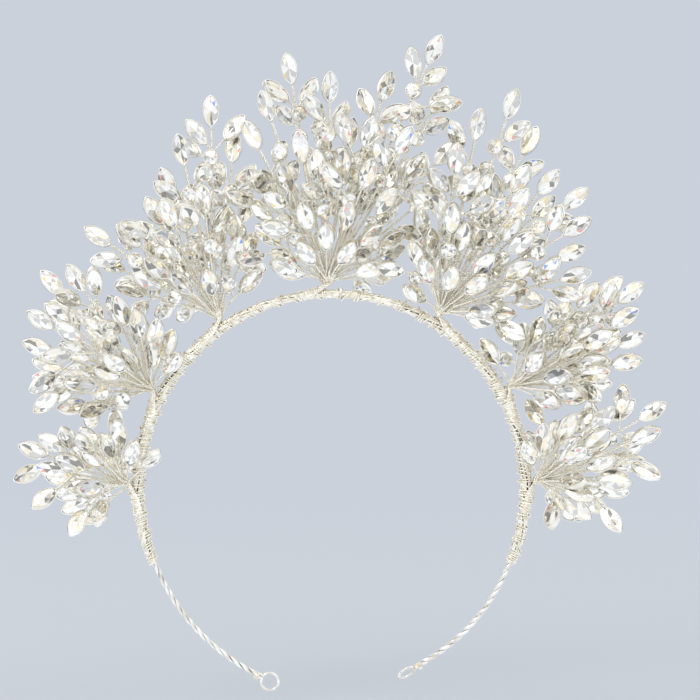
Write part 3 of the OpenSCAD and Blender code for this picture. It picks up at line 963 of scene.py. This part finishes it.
@dataclass
class Spray:
    """One spray of crystal twigs on the band."""

    name: str
    nodes: dict[str, bpy.types.Object]
    band: Band
    seed: int
    stem_strand_mm: float = 0.24
    stem_pitch_mm: float = 2.0
    stalk_strand_mm: float = 0.2
    stalk_pitch_mm: float = 1.8
    step_mm: float = 0.25
    # Angle in radians from the start of one twist to that of the next
    twist_step: float = 1.7
    # The neck: where its wires lap over the stems, gather, and dip towards the band
    neck_strand: float = 0.9
    neck_reach_mm: float = 1.5
    lap_mm: float = 0.3
    gather_mm: float = 3.0
    gather_share: float = 0.6
    dip: float = 0.25
    # Shares of the neck's reach that the wires spread along the band and in depth
    spread_along: Pair = (0.6, 0.4)
    spread_depth: Pair = (1.3, 0.5)
    # Three places of each wire on the band: along it, round it and above the bundle
    root_mm: tuple[float, ...] = (3.4, 6.5, 11.0)
    root_turn_deg: tuple[float, ...] = (150.0, 200.0, 230.0)
    root_over_mm: tuple[float, ...] = (0.9, 0.35, -0.1)
    # The wire wound round the neck, on the stub of the centre spray or over the joint
    neck_turns: int = 5
    wrap_mm: float = 0.5
    stub_steps: int = 22
    stub_share: float = 1.15
    stub_drop: Pair = (0.02, 0.5)
    stub_slant: float = 0.06
    stub_wide: Pair = (0.94, 1.06)
    joint_steps: int = 24
    joint_span: Pair = (0.75, 0.85)
    joint_over_mm: Pair = (1.5, 1.15)
    stems: list[Solid] = field(default_factory=list)
    base: np.ndarray = field(default_factory=lambda: np.zeros(3))

    def solids(self, piece: str) -> list[Solid]:
        """The solids of one of the spray's CAD nodes."""
        return node_solids(self.nodes[f"{self.name}_{piece}"])

    def build(self) -> None:
        """Build every piece of the spray."""
        self.stems = self.solids("stems")
        self.base = self.meeting_point()
        self.build_stones()
        self.build_wires()
        self.build_neck()

    def meeting_point(self) -> np.ndarray:
        """The point where the lines of all stems meet.

        Returns:
            The point nearest to all of the lines.
        """
        ways = np.array([s.axes[0] for s in self.stems])
        across = np.eye(3)[None] - ways[:, :, None] * ways[:, None, :]
        middles = np.array([s.middle for s in self.stems])
        return np.linalg.solve(across.sum(0), np.einsum("nij,nj->i", across, middles))

    def build_stones(self) -> None:
        """Build the stones and their settings."""
        for kind, cut in (("navette", NAVETTE_CUT), ("chaton", ROUND_CUT)):
            stones = Stones(cut, self.solids(f"{kind}s"), self.seed + cut.pointed)
            stones.build(self.name, kind)
            cups = Settings(cut.pointed, self.solids(f"{kind}_settings"))
            cups.build(self.name, kind)

    def build_wires(self) -> None:
        """Build the twisted stems and stalks."""
        for piece, strand, pitch in (
            ("stems", self.stem_strand_mm, self.stem_pitch_mm),
            ("stalks", self.stalk_strand_mm, self.stalk_pitch_mm),
        ):
            maker = MeshMaker()
            for number, solid in enumerate(self.solids(piece)):
                start, end = solid.ends
                points = np.array([start, (start + end) / 2, end])
                path = even_path(points, self.step_mm * MM)
                turn = self.twist_step * number
                twisted_pair(maker, path, strand * MM, pitch * MM, start=turn)
            maker.piece(self.name, f"twisted_{piece}", piece, "stem_wire", Metal.TWIG)

    def build_neck(self) -> None:
        """Build the stems' lower ends, gathered and bent into the band away from its top."""
        angle = math.atan2(self.base[0], self.base[2])
        out = self.band.outward(angle)
        along = np.array([math.cos(angle), 0.0, -math.sin(angle)])
        height = float(self.base @ out) - self.band.radius
        reach = self.neck_reach_mm * MM
        central = abs(self.base[0]) < reach
        strand = self.neck_strand * self.stem_strand_mm * MM
        over = np.array(self.root_over_mm) * MM
        maker = MeshMaker()
        for number, stem in enumerate(self.stems):
            near = min(stem.ends, key=lambda e: float(np.linalg.norm(e - self.base)))
            way = unit(near - self.base)
            spot = number * GOLDEN % 1.0 - 0.5
            side = float(way @ along)
            own, even = self.spread_along
            inner = along * reach * (own * side + even * math.cos(number))
            even, own = self.spread_depth
            inner = inner + DEPTH * reach * (even * spot + own * way[1])
            hand = math.copysign(1.0, side if central else self.base[0])
            laid = angle + hand * np.array(self.root_mm) * MM / self.band.radius
            turn = spot * np.radians(self.root_turn_deg)
            points = np.array(
                [
                    near + way * self.lap_mm * MM,
                    self.base + way * self.gather_mm * MM + inner * self.gather_share,
                    self.base + inner - out * self.dip * height,
                    *self.band.around(laid, turn, over),
                ]
            )
            path = even_path(points, self.step_mm * MM)
            twisted_pair(maker, path, strand, self.stem_pitch_mm * MM, start=number)
        if central:
            path = self.stub_wrap(out * height, along)
        else:
            path = self.joint_wrap(angle, math.copysign(1.0, self.base[0]))
        sweep(maker, path, self.wrap_mm / 2 * MM, WIRE_SIDES, mark=1)
        metals = Metal.TWIG, Metal.BINDING
        maker.piece(self.name, "gathered_wires", "neck", "stem_wire", *metals)

    def stub_wrap(self, rise: np.ndarray, along: np.ndarray) -> np.ndarray:
        """Path of the wire wound round the stub between the band and the spray.

        Args:
            rise: The way from the band's centreline up to the spray's base.
            along: The way along the band.

        Returns:
            The path's points, one a row.
        """
        draw = np.random.default_rng(self.seed + 5)
        whole = np.linspace(0.0, self.neck_turns, self.neck_turns * self.stub_steps)
        turn = whole * TURN
        marks = np.arange(self.neck_turns + 1)
        radius = self.stub_share * (self.neck_reach_mm * MM) + self.wrap_mm * MM
        slant = np.interp(whole, marks, draw.normal(0, self.stub_slant, len(marks)))
        first, span = self.stub_drop
        drop = first + span * whole / self.neck_turns + slant * np.cos(turn)
        wide = radius * np.interp(whole, marks, draw.uniform(*self.stub_wide, len(marks)))
        ring = circled(turn[:, None], along, DEPTH)
        return self.base - rise * drop[:, None] + wide[:, None] * ring

    def joint_wrap(self, angle: float, hand: float) -> np.ndarray:
        """Path of the wire wound round the band where the stems bend into it.

        Args:
            angle: Where the spray sits on the band.
            hand: Which way the stems bend, 1 to the right and -1 to the left.

        Returns:
            The path's points, one a row.
        """
        draw = np.random.default_rng(self.seed + 6)
        whole = np.linspace(0.0, self.neck_turns, self.neck_turns * self.joint_steps)
        turn = whole * TURN
        marks = np.arange(self.neck_turns + 1)
        share = np.interp(whole, marks, np.sort(draw.uniform(0.0, 1.0, len(marks))))
        roots = np.array(self.root_mm)[[0, -1]] * MM / self.band.radius
        first, last = np.array(self.joint_span) * roots
        place = angle + hand * (first + (last - first) * share)
        high, fall = self.joint_over_mm
        over = (high - fall * share) * MM * (0.5 + 0.5 * np.cos(turn))
        return self.band.around(place, turn, over + self.wrap_mm / 2 * MM)


@dataclass
class BandHalf:
    """One half of the bound band: laid wires, and the fine wire wound round them."""

    name: str
    hand: int
    band: Band
    seed: int
    swell_mm: float = 0.22
    # The laid wires, which turn slowly round the bundle and wander in and out
    laid_wires: int = 24
    laid_mm: float = 0.75
    laid_step_mm: float = 0.8
    lay_mm: float = 80.0
    wander: float = 0.22
    waves: tuple[int, ...] = (7, 17, 31)
    sink: Pair = (0.95, 0.4)
    sink_waves: Pair = (30, 60)
    # The binding's turns: close groups, with gaps that are wider near the top
    binding_mm: float = 0.6
    first_mm: float = 2.0
    group: tuple[int, int] = (1, 4)
    close_mm: float = 0.72
    close_share: Pair = (0.8, 1.4)
    open_mm: Pair = (1.8, 2.9)
    bare_deg: float = 22.0
    bare_share: float = 2.2
    last_mm: Pair = (3.0, 2.6)
    # How each turn runs: upright for the first part, then over to the next place
    turn_steps: int = 26
    slant_mm: float = 0.3
    ease: float = 2.2
    top_mm: float = 0.3
    # Kinks where a turn was pulled tight, mostly at the inner edge
    lift: float = 0.8
    kink_mm: float = 0.95
    kink_share: float = 0.7
    kink_size: Pair = (0.25, 1.0)
    kink_width: float = 0.055
    kink_jitter: float = 0.06
    inner_share: float = 0.7
    # Cut ends of the binding that stand out
    tips: int = 26
    tip_mm: float = 1.5
    tip_wire: float = 0.7
    tip_span: Pair = (0.05, 0.99)
    tip_size: Pair = (0.3, 1.0)
    tip_lean: float = 0.6
    tip_curl: float = 0.4
    tip_points: int = 5
    tip_taper: float = 0.3

    def build(self) -> None:
        """Build the laid wires and the binding."""
        self.build_laid_wires()
        self.build_binding()

    def build_laid_wires(self) -> None:
        """Build the stem wires that lie along the band."""
        maker = MeshMaker()
        length = self.band.length
        share = np.linspace(0.0, 1.0, int(length / (self.laid_step_mm * MM)))
        angle = self.hand * share * self.band.bound
        draw = np.random.default_rng(self.seed)
        wire = self.laid_mm / 2 * MM
        deep, swing = self.sink
        for number in range(self.laid_wires):
            lay = number / self.laid_wires + share * length / (self.lay_mm * MM)
            turn = TURN * lay
            for waves in self.waves:
                turn = turn + self.wander * np.sin(share * waves + draw.uniform(0, TURN))
            swung = swing * np.sin(share * draw.uniform(*self.sink_waves) + number)
            over = -wire * (deep + swung) + self.swell_mm * MM
            sweep(maker, self.band.around(angle, turn, over), wire, WIRE_SIDES)
        maker.piece(self.name, "laid_wires", "bundle", "stem_wire", Metal.LAID)

    def turn_places(self, draw: np.random.Generator, length: float) -> np.ndarray:
        """Places of the binding's turns along the band.

        Args:
            draw: Source of the seeded draws.
            length: Length of the bound half.

        Returns:
            Distance of each turn from the top of the band.
        """
        bare = math.radians(self.bare_deg) * self.band.radius
        close = self.close_mm * MM
        places = [self.first_mm * MM]
        while places[-1] < length:
            for _ in range(draw.integers(*self.group)):
                places.append(places[-1] + close * draw.uniform(*self.close_share))
            gap = MM * draw.uniform(*self.open_mm)
            places.append(places[-1] + gap * (self.bare_share if places[-1] < bare else 1.0))
        stop, start = (length - mm * MM for mm in self.last_mm)
        kept = [p for p in places if p < stop]
        return np.array([*kept, *np.arange(start, length, close)])

    def build_binding(self) -> None:
        """Build the wound wire, kinked where it was pulled tight, and its cut tips."""
        maker = MeshMaker()
        draw = np.random.default_rng(self.seed + 1)
        length = self.band.length
        wire = self.binding_mm / 2 * MM
        places = self.turn_places(draw, length)
        count = len(places)
        marks = np.arange(count)
        whole = np.linspace(0.0, count - 1, (count - 1) * self.turn_steps)
        turn = TURN * whole
        slant = np.interp(whole, marks, draw.normal(0, self.slant_mm * MM, count))
        eased = (self.ease * (whole % 1.0) - (self.ease - 1.0)).clip(0.0, 1.0)
        along = np.interp(np.floor(whole) + eased, marks, places) + slant * np.cos(turn)
        angle = self.hand * along.clip(self.top_mm * MM, length) / self.band.radius
        kink = draw.uniform(*self.kink_size, count)
        kink = kink * (draw.random(count) < self.kink_share)
        spot = np.where(draw.random(count) < self.inner_share, 0.5, 0.0)
        spot = spot + draw.normal(0, self.kink_jitter, count)
        near = np.floor(whole).astype(int)
        far = (whole - near - spot[near] + 0.5) % 1.0 - 0.5
        bulge = self.kink_mm * MM * kink[near] * np.exp(-((far / self.kink_width) ** 2))
        over = wire * self.lift + self.swell_mm * MM + bulge
        sweep(maker, self.band.around(angle, turn, over), wire, WIRE_SIDES)
        for _ in range(self.tips):
            self.add_tip(maker, draw, self.tip_wire * wire)
        metal, slot = Metal.BINDING, "binding_wire"
        maker.piece(self.name, "wound_binding", "binding", slot, metal)

    def add_tip(self, maker: MeshMaker, draw: np.random.Generator, radius: float) -> None:
        """Add a cut end that stands out at the outer or the inner edge.

        Args:
            maker: Gathers the mesh.
            draw: Source of the seeded draws.
            radius: Radius of the end where it leaves the binding.
        """
        spot = self.hand * self.band.bound * draw.uniform(*self.tip_span)
        turn = draw.choice([0.0, math.pi]) + draw.normal(0, self.tip_lean)
        size = self.tip_mm * MM * draw.uniform(*self.tip_size)
        rise = np.linspace(0.0, 1.0, self.tip_points)
        angle = spot + draw.normal(0, self.tip_lean) * size / self.band.radius * rise
        turns = turn + draw.normal(0, self.tip_curl) * rise
        path = self.band.around(angle, turns, self.swell_mm * MM + size * rise)
        sweep(maker, path, radius * (1 - self.tip_taper * rise), WIRE_SIDES - 1)


@dataclass
class Tail:
    """A bare tail: two twisted wires, an end loop and the wire tied round its neck."""

    name: str
    hand: int
    nodes: dict[str, bpy.types.Object]
    band: Band
    # The two wires, pressed together, with painted shade where they meet
    strand_mm: float = 1.2
    strand_sides: int = 16
    nest: float = 0.6
    twists: int = 7
    groove_mm: float = 0.56
    inside_mm: float = 4.0
    bend_mm: float = 9.0
    step_mm: float = 0.5
    arc_points: tuple[int, int] = (5, 40)
    # The loop's legs: how far up the tail in mm, and how far apart in wire radii
    legs: tuple[Pair, Pair] = ((1.6, 0.5), (0.3, 0.8))
    loop_gap: float = 0.1
    loop_points: int = 64
    loop_step_mm: float = 0.35
    loop_wire: float = 0.96
    loop_sides: int = 14
    # The tie and its end, which stands out
    tie_mm: float = 0.34
    tie_turns: float = 3.5
    tie_steps: int = 20
    tie_sides: int = 8
    tie_pitch: float = 1.25
    tie_clear_mm: float = 0.06
    tie_shift_mm: float = 0.35
    tie_end_mm: Pair = (0.7, 0.2)

    @property
    def body(self) -> str:
        """The CAD body that the tail moves with."""
        return f"{self.name}_tail"

    def build(self) -> None:
        """Build the tail's pieces."""
        path = self.arc()
        self.build_strands(path)
        self.build_loop(path[-1])
        self.build_tie(path)

    def arc(self) -> np.ndarray:
        """Points of the tail's centreline from inside the binding to the loop.

        Returns:
            The points, one a row.
        """
        points, _ = node_mesh(self.nodes[f"{self.name}_tail_wires"])
        x, z = points[:, 0], points[:, 2]
        rows = np.column_stack([x, z, np.ones(len(x))])
        cx, cz, rest = np.linalg.lstsq(rows, x**2 + z**2, rcond=None)[0]
        cx, cz = cx / 2, cz / 2
        radius = math.sqrt(rest + cx**2 + cz**2)
        last = np.abs(np.arctan2(x - cx, z - cz)).max()
        bound, inside = self.band.bound, self.inside_mm * MM / self.band.radius
        few, many = self.arc_points
        before = bound - np.linspace(inside, 0.0, few)[:-1]
        within = self.band.point(self.hand * before)
        turn = self.hand * np.linspace(bound, last, many)
        bare = np.array([cx, 0.0, cz]) + radius * self.band.outward(turn)
        return even_path(np.concatenate([within, bare]), self.step_mm * MM)

    def build_strands(self, path: np.ndarray) -> None:
        """Build the two twisted wires, which bend where the binding ends.

        Args:
            path: Centreline of the tail.
        """
        maker = MeshMaker()
        pitch = (run_along(path)[-1] - self.inside_mm * MM) / self.twists
        strand = self.strand_mm / 2 * MM
        twisted_pair(maker, path, strand, pitch, self.strand_sides, nest=self.nest)
        # The groove faces get the dark finish: painted shade between the two wires
        self.mark_grooves(maker, even_path(path, self.groove_mm * MM / 4))
        metals = Metal.TAIL, Metal.GROOVE
        made = maker.piece(
            self.name, "tail_strands", "tail_wires", "band_wire", *metals, body=None
        )
        start = self.band.point(self.hand * self.band.bound)
        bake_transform(made)

    def mark_grooves(self, maker: MeshMaker, line: np.ndarray) -> None:
        """Mark the faces that lie in the grooves between the twisted wires, which get the
        painted shade.

        Args:
            maker: Holds the mesh of the two wires.
            line: Closely spaced points of the line that they twist round.
        """
        corners = np.concatenate(maker.points)
        for number, group in enumerate(maker.faces):
            middles = corners[group].mean(axis=1)
            gaps = np.linalg.norm(middles[:, None] - line[None], axis=2).min(axis=1)
            maker.marks[number] = (gaps < self.groove_mm * MM).astype(int)

    def build_loop(self, root: np.ndarray) -> None:
        """Build the loop that the tail's wire is bent into.

        Args:
            root: The tail's end.
        """
        (solid,) = node_solids(self.nodes[f"{self.name}_end_loop"])
        wire = solid.half[2]
        axis = solid.axes[2]
        back = unit(root - solid.middle)
        back = unit(back - axis * (axis @ back))
        side = np.cross(axis, back)
        turn = np.linspace(self.loop_gap, TURN - self.loop_gap, self.loop_points)
        radius = solid.half[0] - wire
        ring = solid.middle + radius * circled(turn[:, None], back, side)
        starts, stops = (
            [
                root + back * up * MM + side * hand * wire * apart
                for up, apart in self.legs
            ]
            for hand in (1.0, -1.0)
        )
        path = np.concatenate([starts, ring, stops[::-1]])
        path = even_path(path, self.loop_step_mm * MM)
        maker = MeshMaker()
        sweep(maker, path, wire * self.loop_wire, self.loop_sides)
        maker.piece(
            self.name, "bent_loop", "end_loop", "band_wire", Metal.TAIL, body=self.body
        )

    def build_tie(self, path: np.ndarray) -> None:
        """Build the wire tied round the loop's neck.

        Args:
            path: Centreline of the tail.
        """
        low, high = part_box(f"{self.name}_loop_tie")
        middle = np.array((low + high) / 2)
        along = unit(path[-1] - path[-4])
        count = int(self.tie_turns * self.tie_steps)
        share = np.linspace(-0.5, 0.5, count)[:, None]
        turn = share * self.tie_turns * TURN
        length = self.tie_turns * self.tie_mm * self.tie_pitch * MM
        pair_mm = self.strand_mm / 2 * (1 + self.nest)
        radius = (pair_mm + self.tie_mm / 2 + self.tie_clear_mm) * MM
        coil = middle + along * (self.tie_shift_mm * MM + length * share)
        coil = coil + radius * circled(turn, np.cross(along, DEPTH), DEPTH)
        out, on = self.tie_end_mm
        end = coil[-1] + unit(coil[-1] - middle) * out * MM + along * on * MM
        maker = MeshMaker()
        path = np.concatenate([coil, [end]])
        sweep(maker, path, self.tie_mm / 2 * MM, self.tie_sides)
        metal, slot = Metal.BINDING, "binding_wire"
        maker.piece(self.name, "tied_neck", "loop_tie", slot, metal, body=self.body)


@dataclass
class Core:
    """The two wires twisted together inside the bound band."""

    band: Band
    strand_mm: float = 0.8
    pitch_mm: float = 8.7
    sides: int = 8
    points: int = 360

    def build(self) -> None:
        """Build the core along the whole bound part."""
        angle = np.linspace(-self.band.bound, self.band.bound, self.points)
        path, strand = self.band.point(angle), self.strand_mm / 2 * MM
        maker = MeshMaker()
        twisted_pair(maker, path, strand, self.pitch_mm * MM, self.sides)
        maker.piece("band", "core_strands", "core", "band_wire", Metal.TAIL)


# --- studio ---


@dataclass(frozen=True)
class Softbox:
    """A soft lamp: place, width and height, strength, colour, and if it lies face up."""

    name: str
    place: tuple[float, float, float]
    sides: Pair
    watts: float
    colour: str
    flat: bool = False


@dataclass
class Studio:
    """Pale floor that fades into the background, soft light and the camera in front."""

    view_width: float = 0.238
    aim: tuple[float, float, float] = (0.0061, 0.0, 0.0469)
    distance: float = 0.8
    rise_deg: float = 2.0
    sensor_mm: float = 36.0
    # Room under the loops, which reach lower when the tails are pulled open
    floor_gap: float = 0.0118
    floor_half: float = 8.0
    floor_sides: int = 64
    fade: Pair = (0.3, 1.2)
    floor_colour: str = "C8CDD5"
    horizon: str = "CBD1DB"
    dome: str = "F8F9F9"
    rim_of_dome: Pair = (0.12, 0.55)
    boxes: tuple[Softbox, ...] = (
        Softbox("front_wall", (-0.25, -1.75, 0.62), (4.2, 1.8), 7.6, "FFFBF4"),
        Softbox("key", (-0.9, -0.9, 1.0), (0.5, 0.5), 2.7, "FFFCF6"),
        Softbox("front_top", (0.3, -1.1, 1.9), (1.8, 0.9), 2.4, "FFFFFF"),
        Softbox("low_panel", (0.0, -0.65, -0.0805), (3.0, 1.9), 7.2, "FFFFFF", True),
        Softbox("back_left", (-1.4, 1.5, 0.7), (1.3, 1.6), 3.0, "FFFFFF"),
        Softbox("back_right", (1.4, 1.5, 0.6), (1.3, 1.6), 3.0, "FFFFFF"),
    )

    def build(self, lowest: float) -> None:
        """Build the studio.

        Args:
            lowest: Height of the tiara's lowest point.
        """
        self.build_floor(lowest - self.floor_gap)
        self.build_sky()
        for box in self.boxes:
            self.build_lamp(box)
        self.build_camera()
        bpy.context.scene.view_settings.view_transform = "Standard"

    def build_floor(self, height: float) -> None:
        """Build the floor.

        Args:
            height: Height of the floor.
        """
        angle = np.arange(self.floor_sides) * TURN / self.floor_sides
        flat = round_outline(self.floor_half, self.floor_half, angle)
        ring = np.column_stack([flat, np.full(self.floor_sides, height)])
        mesh = bpy.data.meshes.new("floor")
        mesh.from_pydata(ring.tolist(), [], [list(range(self.floor_sides))])
        mesh.materials.append(self.floor_material())
        floor = bpy.data.objects.new("floor", mesh)
        bpy.context.scene.collection.objects.link(floor)
        floor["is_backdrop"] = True

    def floor_material(self) -> bpy.types.Material:
        """Build the floor's matte paint, which glows like the horizon far away.

        Returns:
            The material.
        """
        material, tree = empty_material("matte_floor")
        place = add_node(tree, "ShaderNodeNewGeometry").outputs["Position"]
        paint = {"Roughness": 0.9, "Specular IOR Level": 0.2}
        paint["Base Color"] = linear(self.floor_colour)
        shader = add_node(tree, "ShaderNodeBsdfPrincipled", paint)
        glow = add_node(tree, "ShaderNodeEmission", {"Color": linear(self.horizon)})
        away = add_node(
            tree, "ShaderNodeVectorMath", {"operation": "LENGTH"}, {"Vector": place}
        )
        near, far = self.fade
        share = add_node(
            tree,
            "ShaderNodeMapRange",
            {"interpolation_type": "SMOOTHSTEP", "From Min": near, "From Max": far},
            {"Value": away.outputs["Value"]},
        )
        mix = add_node(tree, "ShaderNodeMixShader", links={"Fac": share.outputs["Result"]})
        tree.links.new(shader.outputs["BSDF"], mix.inputs[1])
        tree.links.new(glow.outputs["Emission"], mix.inputs[2])
        surface = mix.outputs["Shader"]
        add_node(tree, "ShaderNodeOutputMaterial", links={"Surface": surface})
        return material

    def build_sky(self) -> None:
        """Build the soft light round the scene, pale at the horizon and white above."""
        world = bpy.data.worlds.new("studio")
        bpy.context.scene.world = world
        world.use_nodes = True
        tree = world.node_tree
        tree.nodes.clear()
        place = add_node(tree, "ShaderNodeTexCoord").outputs["Generated"]
        parts = add_node(tree, "ShaderNodeSeparateXYZ", links={"Vector": place})
        ramp = add_node(tree, "ShaderNodeValToRGB", links={"Fac": parts.outputs["Z"]})
        for stop, spot, colour in zip(
            ramp.color_ramp.elements, self.rim_of_dome, (self.horizon, self.dome)
        ):
            stop.position, stop.color = spot, linear(colour)
        colour = ramp.outputs["Color"]
        glow = add_node(tree, "ShaderNodeBackground", links={"Color": colour})
        surface = glow.outputs["Background"]
        add_node(tree, "ShaderNodeOutputWorld", links={"Surface": surface})

    def build_lamp(self, box: Softbox) -> None:
        """Build a softbox that faces the tiara.

        Args:
            box: The softbox.
        """
        lamp = bpy.data.lights.new(box.name, "AREA")
        lamp.shape, lamp.energy = "RECTANGLE", box.watts
        lamp.size, lamp.size_y = box.sides
        lamp.color = linear(box.colour)[:3]
        made = bpy.data.objects.new(box.name, lamp)
        made.location = box.place
        way = Vector((0, 0, 1)) if box.flat else Vector(self.aim) - Vector(box.place)
        made.rotation_euler = way.to_track_quat("-Z", "Y").to_euler()
        made.visible_camera = False
        bpy.context.scene.collection.objects.link(made)

    def build_camera(self) -> None:
        """Build the camera at the photograph's place."""
        camera = bpy.data.cameras.new("camera")
        camera.sensor_width = self.sensor_mm
        camera.lens = self.sensor_mm * self.distance / self.view_width
        camera.clip_start, camera.clip_end = 0.01, 50.0
        made = bpy.data.objects.new("camera", camera)
        rise = math.radians(self.rise_deg)
        back = Vector((0.0, -math.cos(rise), math.sin(rise)))
        made.location = Vector(self.aim) + back * self.distance
        made.rotation_euler = (-back).to_track_quat("-Z", "Y").to_euler()
        bpy.context.scene.collection.objects.link(made)
        bpy.context.scene.camera = made


def main() -> None:
    """Build the tiara on the frame, then the studio."""
    logging.basicConfig(level=logging.INFO, format="%(name)s: %(message)s")
    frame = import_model()
    nodes = frame["nodes"]
    band = Band.measured(frame)
    Core(band).build()
    for number, (name, hand) in enumerate((("left", -1), ("right", 1))):
        BandHalf(name, hand, band, BAND_SEED + SEED_STEP * number).build()
        Tail(name, hand, nodes, band).build()
    for number, name in enumerate(SPRAYS):
        Spray(name, nodes, band, SPRAY_SEED + SEED_STEP * number).build()
    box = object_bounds()
    Studio().build(box[0].z)


if __name__ == "__main__":
    main()
